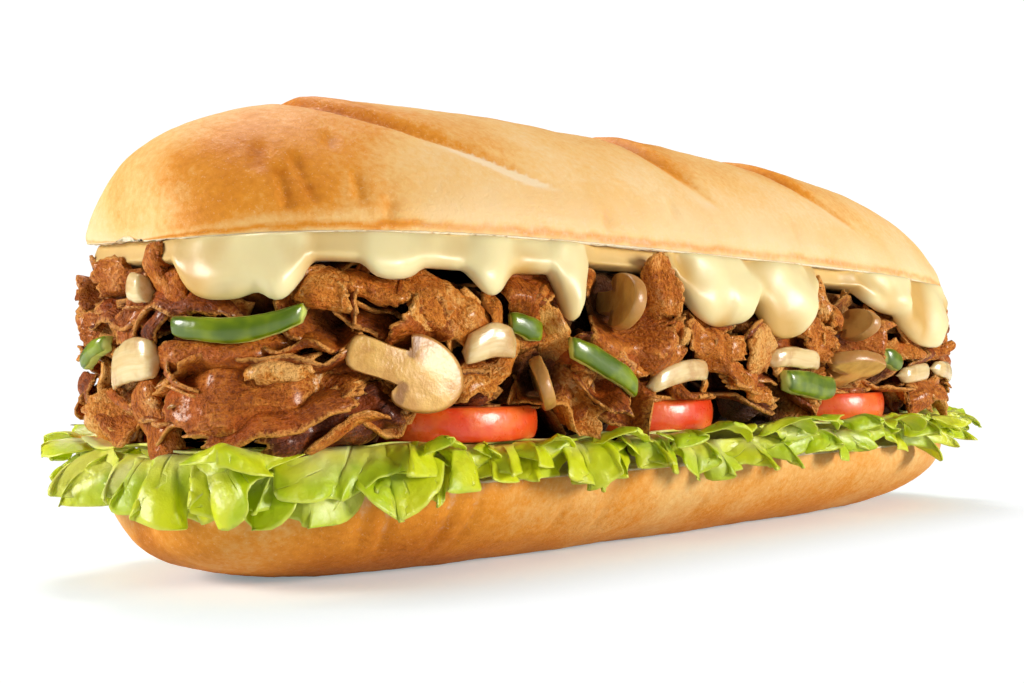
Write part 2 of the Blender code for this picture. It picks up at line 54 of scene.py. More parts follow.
# The roll, as in its solids
HALF_LENGTH = 135.5 * MM
HALF_WIDTH = 42 * MM
LOWER_TOP = 20.4 * MM
LOWER_SUNK = 2.2 * MM
LOWER_SHIFT = 2.5 * MM
LOWER_INSET = 1.2 * MM
UPPER_BASE = 70.2 * MM
UPPER_RISE = 29.8 * MM
LID_DROOP = 4.3 * MM
LID_FALL = 2.1 * MM
LID_ROLL = 0.022
# Scores: place on the top, drift along the roll on the way down, its power, and how torn, in mm
SCORES = ((-97, 85, 1.2, 1.0), (-3, 30, 2.0, 0.3), (50, 40, 1.4, 0.3))
SCORE_SWELL = 1.5
SCORE_RISE = 1.5
SCORE_DEPTH = 1.5
SCORE_WIDTH = 4.4
SCORE_LIP = 2.2
SCORE_FADE = 26
SCORE_FAR_DRIFT = 0.25
OUTLINE_POWER = 3.8
UPPER_LENGTH_POWER = 3.5
UPPER_SECTION_POWER = 1.75
LOWER_LENGTH_POWER = 4.6
TABLE_STEPS = 4000

# The filling, as in its solids
TOMATO_BASE = 28.2 * MM
TOMATO_RADIUS = 24 * MM
TOMATO_THICKNESS = 7.4 * MM
BEEF_LOWEST = 29.6 * MM
CHEESE_DROP = 5.0 * MM
CHEESE_WALL = 3.2 * MM
CHEESE_MIDDLE = -34 * MM
CHEESE_EDGE = 66 * MM
CRUST_GAP = 0.4 * MM
LEAF_THICKNESS = 0.5 * MM


def signed_power(value, power):
    return np.sign(value) * np.abs(value) ** power


def smooth_share(value, low, high):
    """0 below low, 1 above high, and an even S between them."""
    share = np.clip((value - low) / (high - low), 0, 1)
    return share * share * (3 - 2 * share)


def rim_at_angle(angle, grow=0.0):
    """The roll's plan outline, grown outwards by grow."""
    power = 2 / OUTLINE_POWER
    x = (HALF_LENGTH + grow) * signed_power(np.cos(angle), power)
    y = (HALF_WIDTH + grow) * signed_power(np.sin(angle), power)
    return x, y


RIM_ANGLES = math.pi + 2 * math.pi * np.arange(TABLE_STEPS + 1) / TABLE_STEPS
RIM_LENGTHS = np.concatenate([[0], np.cumsum(np.hypot(*np.diff(rim_at_angle(RIM_ANGLES))))])
RIM = RIM_LENGTHS[-1]
HALF_RIM = RIM / 2


def on_side(distance, grow, height):
    """Points at distances along the rim, grown outwards and at a height."""
    angle = np.interp(np.mod(distance, RIM), RIM_LENGTHS, RIM_ANGLES)
    x, y = rim_at_angle(angle, grow)
    return np.stack(np.broadcast_arrays(x, y, height), -1)


def lid_height(x, y):
    """Height of the upper half's cut face."""
    share = x / HALF_LENGTH
    return UPPER_BASE - LID_DROOP * share**4 - LID_FALL * share + LID_ROLL * y


def lid_over(distance, grow):
    x, y, _ = np.moveaxis(on_side(distance, grow, 0.0), -1, 0)
    return lid_height(x, y)


def corner_value(x, y, z, seed):
    """A repeatable value from -1 to 1 for each corner of a lattice."""
    mixed = (x * 374761393 + y * 668265263 + z * 1440662683 + seed * 974634777) & 0xFFFFFFFF
    mixed = ((mixed ^ (mixed >> 13)) * 1274126177) & 0xFFFFFFFF
    return ((mixed ^ (mixed >> 16)) & 0xFFFF) / 32767.5 - 1


def lumps(points, size, seed=0):
    """Smooth noise from -1 to 1 over points, in lumps about size across."""
    tilted = points @ np.array([[0.8, 0.36, -0.48], [-0.6, 0.48, -0.64], [0.0, 0.8, 0.6]])
    scaled = tilted / size + 17.3
    cell = np.floor(scaled).astype(np.int64)
    share = scaled - cell
    ease = share**3 * (share * (share * 6 - 15) + 10)
    total = 0
    for corner in range(8):
        offset = np.array([corner & 1, corner >> 1 & 1, corner >> 2 & 1])
        weight = np.prod(np.where(offset == 1, ease, 1 - ease), axis=-1)
        total = total + weight * corner_value(*np.moveaxis(cell + offset, -1, 0), seed)
    return total


class Batch:
    """Points, faces and marks of many shapes that make one piece."""

    def __init__(self):
        self.points, self.faces, self.marks, self.count = [], [], {}, 0

    def add(self, points, faces, **marks):
        points = np.asarray(points).reshape(-1, 3)
        for part in faces:
            self.faces.extend((part + self.count).tolist())
        for mark, values in marks.items():
            values = np.asarray(values, float)
            wide = values.shape[-1:] == (3,) and values.ndim > 1
            shape = (len(points), 3) if wide else (len(points),)
            values = values.reshape(shape) if values.size > 1 else np.full(shape, float(values))
            self.marks.setdefault(mark, []).append(values)
        self.points.append(points)
        self.count += len(points)

    def piece(self, name, nodes, finish):
        """The shapes as one mesh piece that stands for the named nodes."""
        mesh = bpy.data.meshes.new(name)
        mesh.from_pydata(np.concatenate(self.points).tolist(), [], self.faces)
        for mark, parts in self.marks.items():
            values = np.concatenate(parts)
            wide = values.ndim == 2
            layer = mesh.attributes.new(mark, "FLOAT_VECTOR" if wide else "FLOAT", "POINT")
            layer.data.foreach_set("vector" if wide else "value", values.ravel())
        work = bmesh.new()
        work.from_mesh(mesh)
        bmesh.ops.recalc_face_normals(work, faces=work.faces)
        work.to_mesh(mesh)
        work.free()
        mesh.shade_smooth()
        mesh.materials.append(finish)
        made = bpy.data.objects.new(name, mesh)
        bpy.context.scene.collection.objects.link(made)
        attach(made, "root")
        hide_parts(*nodes)
        return made


def grid_faces(rows, columns, round_rows=False, round_columns=False):
    """Four-sided faces over a grid of points, joined up round either way if asked."""
    index = np.arange(rows * columns).reshape(rows, columns)
    if round_rows:
        index = np.concatenate([index, index[:1]], 0)
    if round_columns:
        index = np.concatenate([index, index[:, :1]], 1)
    corners = (index[:-1, :-1], index[:-1, 1:], index[1:, 1:], index[1:, :-1])
    return np.stack(corners, -1).reshape(-1, 4)


def slab(middle, thickness):
    """A thin closed solid round a grid of points. thickness may differ from point to point."""
    rows, columns = middle.shape[:2]
    down = np.gradient(middle, axis=0)
    across = np.gradient(middle, axis=1)
    normal = np.cross(across, down)
    normal /= np.maximum(np.linalg.norm(normal, axis=-1, keepdims=True), 1e-12)
    half = normal * np.asarray(thickness)[..., None] / 2
    count = rows * columns
    top = grid_faces(rows, columns)
    index = np.arange(count).reshape(rows, columns)
    border = np.concatenate(
        [index[0, :-1], index[:-1, -1], index[-1, :0:-1], index[:0:-1, 0]]
    )
    following = np.roll(border, -1)
    walls = np.stack([following, border, border + count, following + count], -1)
    points = np.concatenate([(middle + half).reshape(-1, 3), (middle - half).reshape(-1, 3)])
    return points, [top, top[:, ::-1] + count, walls]


def twice(values):
    """Marks of a slab's two faces."""
    flat = values.reshape(-1, values.shape[-1]) if values.ndim == 3 else values.ravel()
    return np.concatenate([flat, flat])


def tube(rings):
    """A closed solid through closed rings of points, with a fan over each end."""
    count, sides = rings.shape[:2]
    points = np.concatenate([rings.reshape(-1, 3), rings[:1].mean(1), rings[-1:].mean(1)])
    ring = np.arange(sides)
    turned = np.roll(ring, -1)
    last = (count - 1) * sides
    first_fan = np.stack([ring, turned, np.full(sides, count * sides)], -1)
    last_fan = np.stack([ring + last, np.full(sides, count * sides + 1), turned + last], -1)
    return points, [grid_faces(count, sides, round_columns=True), first_fan, last_fan]


def with_ends(values):
    """Marks of a tube's rings, and of the two points that close it."""
    wide = values.ndim == 3
    flat = values.reshape(-1, 3) if wide else values.ravel()
    ends = [values[0].mean(0, keepdims=wide), values[-1].mean(0, keepdims=wide)]
    return np.concatenate([flat, *[np.atleast_1d(end) for end in ends]])


def soft_curve(controls, count):
    """A smooth curve near rows of control points (last axis but one), count points long."""
    padded = np.concatenate(
        [controls[..., :1, :], controls[..., :1, :], controls, controls[..., -1:, :], controls[..., -1:, :]],
        axis=-2,
    )
    spans = padded.shape[-2] - 3
    place = np.linspace(0, spans - 1e-9, count)
    start = place.astype(int)
    t = (place - start)[:, None]
    weights = ((1 - t) ** 3 / 6, (3 * t**3 - 6 * t**2 + 4) / 6)
    weights += ((-3 * t**3 + 3 * t**2 + 3 * t + 1) / 6, t**3 / 6)
    return sum(w * padded[..., start + k, :] for k, w in enumerate(weights))


# Shader sums


class Value:
    """A value in a finish's nodes. Arithmetic on it adds Math nodes."""

    def __init__(self, finish, socket):
        self.finish, self.socket = finish, socket

    def __add__(self, other):
        return self.finish.maths("ADD", self, other)

    __radd__ = __add__

    def __mul__(self, other):
        return self.finish.maths("MULTIPLY", self, other)

    __rmul__ = __mul__

    def __sub__(self, other):
        return self.finish.maths("SUBTRACT", self, other)

    def __rsub__(self, other):
        return self.finish.maths("SUBTRACT", other, self)


class Finish:
    """A material: its Principled shader, and the nodes that feed it."""

    def __init__(self, name, **shared):
        self.material = bpy.data.materials.new(name)
        self.material.use_nodes = True
        self.tree = self.material.node_tree
        self.shader = self.tree.nodes["Principled BSDF"]
        for socket, value in shared.items():
            self.shader.inputs[socket.replace("_", " ").title().replace("Ior", "IOR")].default_value = value

    def add(self, kind, values=(), output=0, stops=None, **settings):
        """A node with its settings made first, then the values or links of its sockets."""
        node = self.tree.nodes.new(kind)
        for setting, value in settings.items():
            setattr(node, setting, value)
        if stops:
            ramp = node.color_ramp
            while len(ramp.elements) < len(stops):
                ramp.elements.new(0.5)
            for element, (place, colour) in zip(ramp.elements, stops):
                element.position = place
                element.color = (*colour, 1)
        pairs = values.items() if isinstance(values, dict) else enumerate(values)
        for socket, value in pairs:
            self.feed(node.inputs[socket], value)
        return Value(self, node.outputs[output])

    def feed(self, socket, value):
        if isinstance(value, Value):
            self.tree.links.new(value.socket, socket)
        else:
            wide = hasattr(socket.default_value, "__len__") and len(socket.default_value) == 4
            socket.default_value = (*value, 1) if wide and len(value) == 3 else value

    def maths(self, operation, *values):
        return self.add("ShaderNodeMath", values, operation=operation)

    def mark(self, name, wide=False):
        return self.add("ShaderNodeAttribute", output=1 if wide else 2, attribute_name=name)

    def place(self):
        return self.add("ShaderNodeTexCoord", output=3)

    def stretched(self, vector, scale):
        return self.add("ShaderNodeVectorMath", {0: vector, 1: scale}, operation="MULTIPLY")

    def noise(self, size, detail=3.0, roughness=0.55, vector=None):
        """Noise from 0 to 1 with lumps of a size in metres, or in the vector's own units."""
        values = {"Vector": vector or self.place(), "Scale": 1 / size}
        values |= {"Detail": detail, "Roughness": roughness}
        return self.add("ShaderNodeTexNoise", values)

    def cells(self, size, feature="F1"):
        values = {"Vector": self.place(), "Scale": 1 / size}
        return self.add("ShaderNodeTexVoronoi", values, feature=feature)

    def between(self, value, low, high):
        """0 where value is below low, 1 above high, and an even S between them."""
        values = {0: value, 1: low, 2: high}
        return self.add("ShaderNodeMapRange", values, interpolation_type="SMOOTHSTEP")

    def mix(self, first, second, share):
        values = {0: share, 6: first, 7: second}
        return self.add("ShaderNodeMix", values, output=2, data_type="RGBA")

    def bump(self, height, distance, strength):
        values = {"Strength": strength, "Distance": distance, "Height": height}
        return self.add("ShaderNodeBump", values)

    def done(self, **fed):
        """Feeds the shader's sockets, named in lower case with low lines."""
        for socket, value in fed.items():
            self.feed(self.shader.inputs[socket.replace("_", " ").title()], value)
        return self.material


def crust_finish():
    """Baked crust: golden, browner on the scores' raised edges, pale crumb on the cut faces, with painted
    shade in the short creases, under the scores' lips and on patches of the sides.
    """
    made = Finish("baked_crust", subsurface_weight=0.1, subsurface_scale=0.002, specular_ior_level=0.16)
    made.shader.inputs["Subsurface Radius"].default_value = (1.0, 0.5, 0.25)
    brown, pale, crumb = made.mark("brown"), made.mark("pale"), made.mark("crumb")
    broad = made.noise(0.022, 4.0)
    fine = made.noise(0.0016, 4.0, 0.65)
    speck = made.noise(0.0006, 2.0, 0.7)
    baked = brown + (broad - 0.5) * 0.7 + (fine - 0.5) * 0.45
    colour = made.add(
        "ShaderNodeValToRGB",
        {0: baked},
        stops=(
            (0.0, (0.92, 0.65, 0.33)),
            (0.26, (0.89, 0.53, 0.185)),
            (0.52, (0.79, 0.300, 0.030)),
            (0.78, (0.60, 0.180, 0.010)),
            (1.0, (0.32, 0.080, 0.008)),
        ),
    )
    floured = made.between(pale + (fine - 0.5) * 0.8, 0.25, 0.95)
    colour = made.mix(colour, (0.93, 0.74, 0.50), floured * 0.8)
    flecks = made.between(speck, 0.60, 0.74)
    colour = made.mix(colour, (0.93, 0.70, 0.42), flecks * 0.32)
    holes = made.cells(0.0021)
    pores = made.between(holes, 0.0, 0.42)
    soft = made.mix((0.78, 0.56, 0.30), (0.93, 0.79, 0.55), pores)
    torn = made.between(crumb + (fine - 0.5) * 0.5, 0.35, 0.65)
    colour = made.mix(colour, soft, torn)
    roughness = 0.52 + (fine - 0.5) * 0.25 + torn * 0.35
    height = fine * 0.5 + speck * 0.25 + broad * 0.5 + torn * pores * 0.9
    return made.done(
        base_color=colour, roughness=roughness, normal=made.bump(height, 0.0006, 0.7)
    )


def beef_finish(name, core_shade):
    """Browned shaved beef: golden and crumbly where tint is high, dark and wet where it is low, with painted
    shade in its small pits, deeper into the heap and on the heap's inside.
    """
    made = Finish(name, coat_roughness=0.22, specular_ior_level=0.22)
    tint, edge, inward = made.mark("tint"), made.mark("edge"), made.mark("inward")
    grain = made.mark("grain", wide=True)
    fibre = made.noise(1.0, 3.0, 0.6, made.stretched(grain, (0.25, 1.5, 1.2)))
    blotch = made.noise(0.0046, 3.0)
    crumb = made.noise(0.0008, 3.0, 0.65)
    crisped = made.between(tint, 0.25, 0.70)
    cooked = tint * 1.15 - 0.06 + (blotch - 0.5) * 0.9 + (fibre - 0.5) * 0.5 + (crumb - 0.5) * 0.9
    colour = made.add(
        "ShaderNodeValToRGB",
        {0: cooked},
        stops=(
            (0.0, (0.080, 0.012, 0.0006)),
            (0.28, (0.25, 0.048, 0.002)),
            (0.52, (0.46, 0.112, 0.007)),
            (0.78, (0.72, 0.235, 0.024)),
            (1.0, (0.92, 0.47, 0.125)),
        ),
    )
    rust = made.between(made.noise(0.006, 2.0, 0.5), 0.52, 0.68)
    colour = made.mix(colour, (0.52, 0.095, 0.006), rust * 0.4)
    crisp = made.between(edge + (crumb - 0.5) * 0.5, 0.84, 1.02)
    colour = made.mix(colour, (0.90, 0.42, 0.090), crisp * 0.6)
    # Painted shade in the small pits of the crumbly surface.
    pit_shade = made.between(crumb, 0.46, 0.32) * (0.35 + crisped * 0.65)
    colour = made.mix(colour, (0.16, 0.034, 0.002), pit_shade * 0.3)
    # Painted shade, with some darker juice: colour darkens deeper into the heap.
    colour = made.mix(colour, (0.030, 0.006, 0.0008), inward * 0.9)
    # Painted shade: the heap's inside is darkened nearly to black.
    colour = made.mix(colour, (0.010, 0.002, 0.0004), core_shade)
    height = fibre * 0.5 + crumb * (0.35 + crisped * 0.45) + blotch * 0.7
    wet = made.between(blotch + (crumb - 0.5) * 0.6, 0.48, 0.64) * (1 - inward) * 0.45
    return made.done(
        base_color=colour,
        roughness=0.44 + (crumb - 0.5) * 0.5,
        coat_weight=wet,
        normal=made.bump(height, 0.0015, 1.0),
    )


def cheese_finish():
    """Smooth melted cheese, pale yellow, with painted shade in its folds and where it lies back under the
    roll.
    """
    made = Finish("melted_cheese", subsurface_weight=0.2, subsurface_scale=0.003, coat_roughness=0.22)
    made.shader.inputs["Subsurface Radius"].default_value = (1.0, 0.75, 0.35)
    # The fold mark is painted shade: deeper yellow-brown in hollows and under the roll.
    fold = made.mark("fold")
    broad = made.noise(0.009, 2.0)
    ripple = made.noise(0.0030, 2.0)
    colour = made.mix((0.89, 0.76, 0.40), (0.66, 0.39, 0.10), fold * 1.0 + (broad - 0.5) * 0.3)
    return made.done(
        base_color=colour,
        roughness=0.40 + (broad - 0.5) * 0.12,
        coat_weight=0.22,
        normal=made.bump(ripple, 0.0004, 0.2),
    )


def lettuce_finish():
    """Frilled leaf: whitish near its rib, yellow-green at the frill, with paler veins and patches of painted
    light.
    """
    made = Finish("lettuce_leaf", subsurface_weight=0.35, subsurface_scale=0.0022, coat_roughness=0.2)
    made.shader.inputs["Subsurface Radius"].default_value = (0.8, 1.0, 0.2)
    reach, along, pale = made.mark("reach"), made.mark("vein"), made.mark("pale")
    broad = made.noise(0.011, 3.0)
    fine = made.noise(0.0012, 3.0)
    blister = made.cells(0.0026, feature="SMOOTH_F1")
    young = made.between(reach + (broad - 0.5) * 0.8 - pale * 0.9, -0.25, 0.55)
    colour = made.mix((0.76, 0.80, 0.26), (0.46, 0.62, 0.004), young)
    deep = made.between(broad - pale * 0.4, 0.50, 0.70)
    colour = made.mix(colour, (0.17, 0.35, 0.001), deep * 0.85)
    # Painted light: random patches of lit yellow-green.
    sunlit_patches = made.between(made.noise(0.016, 2.0, 0.5), 0.46, 0.60)
    colour = made.mix(colour, (0.74, 0.78, 0.008), sunlit_patches * 0.65)
    vein = made.between(along + (fine - 0.5) * 0.25, 0.62, 0.95)
    colour = made.mix(colour, (0.68, 0.76, 0.24), vein * 0.55)
    frill = made.between(reach, 0.93, 1.0)
    colour = made.mix(colour, (0.74, 0.80, 0.12), frill * 0.55)
    height = vein * -0.7 + fine * 0.30 + blister * 0.8
    return made.done(
        base_color=colour,
        roughness=0.42 + (fine - 0.5) * 0.2,
        coat_weight=0.14,
        normal=made.bump(height, 0.0008, 0.7),
    )


def tomato_finish():
    """Wet red skin round a slice, with lighter flesh, gel pockets and seeds on its cut faces."""
    made = Finish("tomato_slice", subsurface_weight=0.25, subsurface_scale=0.003, coat_roughness=0.08)
    made.shader.inputs["Subsurface Radius"].default_value = (1.0, 0.25, 0.1)
    cut = made.mark("cut")
    broad = made.noise(0.008, 3.0)
    fine = made.noise(0.0014, 3.0)
    skin = made.mix((0.78, 0.055, 0.006), (0.88, 0.16, 0.016), made.between(broad, 0.35, 0.7))
    pocket = made.between(made.cells(0.0085), 0.30, 0.55)
    flesh = made.mix((0.80, 0.21, 0.07), (0.70, 0.10, 0.03), pocket)
    seeds = made.between(made.cells(0.0032), 0.16, 0.24)
    flesh = made.mix((0.85, 0.62, 0.28), flesh, 1 - (1 - seeds) * pocket * 0.7)
    colour = made.mix(skin, flesh, cut)
    return made.done(
        base_color=colour,
        roughness=0.30 + (fine - 0.5) * 0.2 + cut * 0.1,
        coat_weight=0.25,
        normal=made.bump(broad * 0.6 + fine * 0.5, 0.0005, 0.45),
    )


def pepper_finish():
    """Glossy green skin, with a paler wet wall where the strip was cut."""
    made = Finish("green_pepper", subsurface_weight=0.2, subsurface_scale=0.002, coat_roughness=0.06)
    made.shader.inputs["Subsurface Radius"].default_value = (0.4, 1.0, 0.2)
    wall = made.mark("wall")
    broad = made.noise(0.006, 2.0)
    fine = made.noise(0.0011, 3.0)
    skin = made.mix((0.085, 0.15, 0.001), (0.25, 0.33, 0.002), made.between(broad, 0.35, 0.7))
    flesh = made.mix((0.56, 0.66, 0.08), (0.74, 0.80, 0.26), fine)
    colour = made.mix(skin, flesh, made.between(wall + (fine - 0.5) * 0.25, 0.35, 0.75))
    return made.done(
        base_color=colour,
        roughness=0.30 + wall * 0.1,
        coat_weight=0.4,
        normal=made.bump(broad + fine * 0.4, 0.0004, 0.35),
    )


def onion_finish():
    """Soft cooked onion: half clear, with fine lines along it and a browner edge."""
    made = Finish("cooked_onion", subsurface_weight=0.45, subsurface_scale=0.003, coat_roughness=0.12)
    made.shader.inputs["Subsurface Radius"].default_value = (1.0, 0.8, 0.5)
    grain, wall = made.mark("grain", wide=True), made.mark("wall")
    lines = made.noise(1.0, 2.0, 0.5, made.stretched(grain, (0.06, 0.9, 0.9)))
    broad = made.noise(0.007, 3.0)
    colour = made.mix((0.74, 0.52, 0.22), (0.84, 0.65, 0.34), made.between(lines, 0.3, 0.7))
    colour = made.mix(colour, (0.48, 0.22, 0.05), made.between(broad, 0.44, 0.66) * 0.6)
    colour = made.mix(colour, (0.66, 0.40, 0.14), wall * 0.3)
    return made.done(
        base_color=colour,
        roughness=0.26 + (broad - 0.5) * 0.15,
        coat_weight=0.4,
        normal=made.bump(lines, 0.0004, 0.3),
    )


def mushroom_finish():
    """Cooked mushroom slice: tan flesh, brown skin round the cap and browner gills."""
    made = Finish("sliced_mushroom", subsurface_weight=0.2, subsurface_scale=0.002, coat_roughness=0.2)
    made.shader.inputs["Subsurface Radius"].default_value = (1.0, 0.6, 0.3)
    rim, gill = made.mark("rim"), made.mark("gill")
    broad = made.noise(0.006, 4.0)
    fine = made.noise(0.0010, 3.0)
    colour = made.mix((0.57, 0.26, 0.050), (0.84, 0.50, 0.13), made.between(broad, 0.3, 0.65))
    colour = made.mix(colour, (0.30, 0.12, 0.030), made.between(gill + (fine - 0.5) * 0.7, 0.45, 0.95) * 0.85)
    colour = made.mix(colour, (0.40, 0.16, 0.035), made.between(rim, 0.86, 1.0) * 0.7)
    return made.done(
        base_color=colour,
        roughness=0.34 + (broad - 0.5) * 0.2,
        coat_weight=0.25,
        normal=made.bump(broad * 0.8 + fine * 0.5 - gill * 0.4, 0.0006, 0.5),
    )


# The roll


def past_score(score, x, y, rise):
    """How far points lie past a score's line, which drifts along the roll as it runs down."""
    start, drift, power, _ = score
    side = np.where(y < 0, -1, SCORE_FAR_DRIFT)
    return x / MM - start + drift * side * np.clip(1 - rise, 0, 1) ** power


def score_relief(x, y, rise):
    """Swell of the crust, with a raised lip past each slanting score and a groove before it."""
    relief = SCORE_SWELL + 0 * x
    for score in SCORES:
        past = past_score(score, x, y, rise)
        lip = smooth_share(past, -0.8, SCORE_LIP) * np.exp(-np.maximum(0, past) / SCORE_FADE)
        groove = np.exp(-2.5 * (past / SCORE_WIDTH + 0.5) ** 2)
        relief = relief + (SCORE_RISE * lip - SCORE_DEPTH * groove) * smooth_share(rise, 0.18, 0.5)
    return relief * MM * smooth_share(rise, 0.3, 0.9)


def profile(share, power):
    return np.maximum(0, 1 - np.abs(share) ** power) ** (1 / power)


# Short creases in the upper crust: two ends, half width and depth, in mm
UPPER_CREASES = (
    ((-119, -21, 86), (-121, -24, 83), 2.0, 0.7),
    ((-118, -27, 81), (-119, -31, 75), 1.7, 1.0),
    ((-114, -26, 84), (-114, -32.5, 76.5), 1.6, 0.9),
    ((-104, -23.6, 89.5), (-105, -25, 88), 1.7, 0.7),
    ((-104, -32.5, 81), (-105, -35, 77), 1.3, 0.8),
    ((-99, -36.8, 75.5), (-100, -37.7, 73), 1.3, 0.6),
    ((-41, -40, 77), (-42, -40.5, 74.5), 1.3, 0.6),
    ((-14, -37, 82), (-15, -38.5, 79), 1.3, 0.6),
    ((34, -37, 80), (33, -39, 76), 1.3, 0.5),
)
# Dents in the lower crust: place along and across, half length and width, lean in degrees, depth
LOWER_DENTS = (
    (-104, -35, 6.0, 1.3, 70, 0.8),
    (-98, -34, 7.0, 1.2, 68, 0.8),
    (-84, -35, 6.5, 1.1, 88, 0.8),
    (-78, -35, 6.5, 1.1, 92, 0.7),
    (-52, -36, 5.0, 1.0, 84, 0.7),
    (-38, -36, 5.0, 1.0, 84, 0.7),
    (-2, -36, 4.0, 0.8, 88, 0.5),
)


def creases(points):
    """Depth of the upper half's short creases; the far side repeats them end for end."""
    depth = 0.0
    for side in (1, -1):
        for start, end, width, deep in UPPER_CREASES:
            run = np.subtract(end, start)
            spots = points / MM * (side, side, 1) - start
            share = np.clip(spots @ run / (run @ run), 0, 1)
            off = np.linalg.norm(spots - share[..., None] * run, axis=-1)
            depth = depth + deep * np.exp(-((off / width) ** 2))
    return depth * MM


def dents(points):
    """Depth of the lower half's dents; the far side repeats them end for end."""
    depth = 0.0
    x, y = points[..., 0] / MM, points[..., 1] / MM
    for side in (1, -1):
        for along, across, length, width, lean, deep in LOWER_DENTS:
            turn = math.radians(lean)
            dx, dy = side * x - along, side * y - across
            run = dx * math.cos(turn) + dy * math.sin(turn)
            off = dy * math.cos(turn) - dx * math.sin(turn)
            depth = depth + deep * np.exp(-((run / length) ** 2) - (off / width) ** 2)
    return depth * MM


def crust_normals(rings):
    along = np.gradient(rings, axis=0)
    around = np.gradient(rings, axis=1)
    normal = np.cross(along, around)
    return normal / np.maximum(np.linalg.norm(normal, axis=-1, keepdims=True), 1e-12)


def upper_roll(finish, steps=320, arc=104, floor=20):
    """The domed upper half with its scores, creases and ragged cut edge."""
    share = np.sin(np.pi * (np.arange(1, steps) / steps - 0.5))[:, None]
    width = HALF_WIDTH * profile(share, OUTLINE_POWER)
    rise = UPPER_RISE * profile(share, UPPER_LENGTH_POWER) * (1 - 0.025 * share)
    turn = np.pi * np.arange(arc + 1)[None, :] / arc
    x = HALF_LENGTH * share + 0 * turn
    y = -width * signed_power(np.cos(turn), 2 / UPPER_SECTION_POWER)
    up = np.abs(np.sin(turn)) ** (2 / UPPER_SECTION_POWER) + 0 * x
    z = lid_height(x, y) + rise * up
    z = z + score_relief(x, y, up) * np.minimum(1, rise / (12 * MM))
    dome = np.stack([x, y, z], -1)
    normal = crust_normals(dome)
    normal *= np.sign(np.median(normal[..., 2]))
    near_cut = smooth_share(up, 0.0, 0.12)
    swell = 0.55 * MM * lumps(dome, 24 * MM, 3) + 0.16 * MM * lumps(dome, 6 * MM, 4)
    skin = 0.05 * MM * lumps(dome, 1.6 * MM, 5)
    crease_depth = creases(dome)
    dome = dome + normal * ((swell + skin - crease_depth) * near_cut)[..., None]
    across = 1 - 2 * np.arange(1, floor)[None, :] / floor
    floor_y = width * across
    floor_x = HALF_LENGTH * share + 0 * across
    under = np.stack([floor_x, floor_y, lid_height(floor_x, floor_y)], -1)
    pores = 0.35 * MM * lumps(under, 1.8 * MM, 6) + 0.2 * MM * lumps(under, 0.9 * MM, 7)
    under[..., 2] += pores * smooth_share(1 - np.abs(across), 0.0, 0.1)
    rings = np.concatenate([dome, under], 1)
    height = np.concatenate([up, 0 * floor_x - 1], 1)
    top = smooth_share(height, 0.45, 0.95)
    brown = 0.12 + 0.20 * top
    pale = 0.52 * smooth_share(height, 0.75, 0.1) * smooth_share(height, -0.5, 0.0)
    for score in SCORES:
        past = past_score(score, rings[..., 0], rings[..., 1], height)
        ear = smooth_share(past, -1.5, 0.8) * smooth_share(past, 24, 1)
        # A browner line at the foot of each score's raised lip: partly the baked edge, partly painted shade
        # under the lip.
        groove_shade = np.exp(-(((past + 1.2) / 1.8) ** 2))
        brown = brown + (0.16 * ear + 0.16 * groove_shade) * smooth_share(height, 0.45, 0.8)
        brown = brown + 0.20 * groove_shade * smooth_share(height, 0.36, 0.5)
        rip = smooth_share(past, -12, -7) * smooth_share(past, -0.5, -4) * (rings[..., 1] < 0)
        pale = pale + score[3] * rip * smooth_share(height, 0.36, 0.44) * smooth_share(height, 0.70, 0.58)
    # Painted shade, with a browner crust: darker patches at the near-left corner and, repeated, at the
    # far-right corner.
    corner = smooth_share(rings[..., 0], -72 * MM, -124 * MM) * smooth_share(rings[..., 1], 2 * MM, -24 * MM)
    other = smooth_share(rings[..., 0], 80 * MM, 124 * MM) * smooth_share(rings[..., 1], -2 * MM, 24 * MM)
    brown = brown + 0.42 * (corner + other) * smooth_share(height, 0.0, 0.25)
    pale = pale * (1 - 0.9 * corner)
    line = np.exp(-(((height - 0.055 + 0.02 * lumps(rings, 3 * MM, 8)) / 0.035) ** 2))
    # The dark line just above the cut is the crust's edge; the short creases are darkened by their depth as
    # painted shade.
    brown = brown + 0.42 * line + 0.14 * np.concatenate([crease_depth, 0 * floor_x], 1) / MM
    crumb = np.where(height < 0, 1.0, smooth_share(height, 0.030, 0.0))
    batch = Batch()
    marks = {"brown": with_ends(brown), "pale": with_ends(pale), "crumb": with_ends(crumb)}
    batch.add(*tube(rings), **marks)
    return batch.piece("roll_upper_half", ["bun_top"], finish)


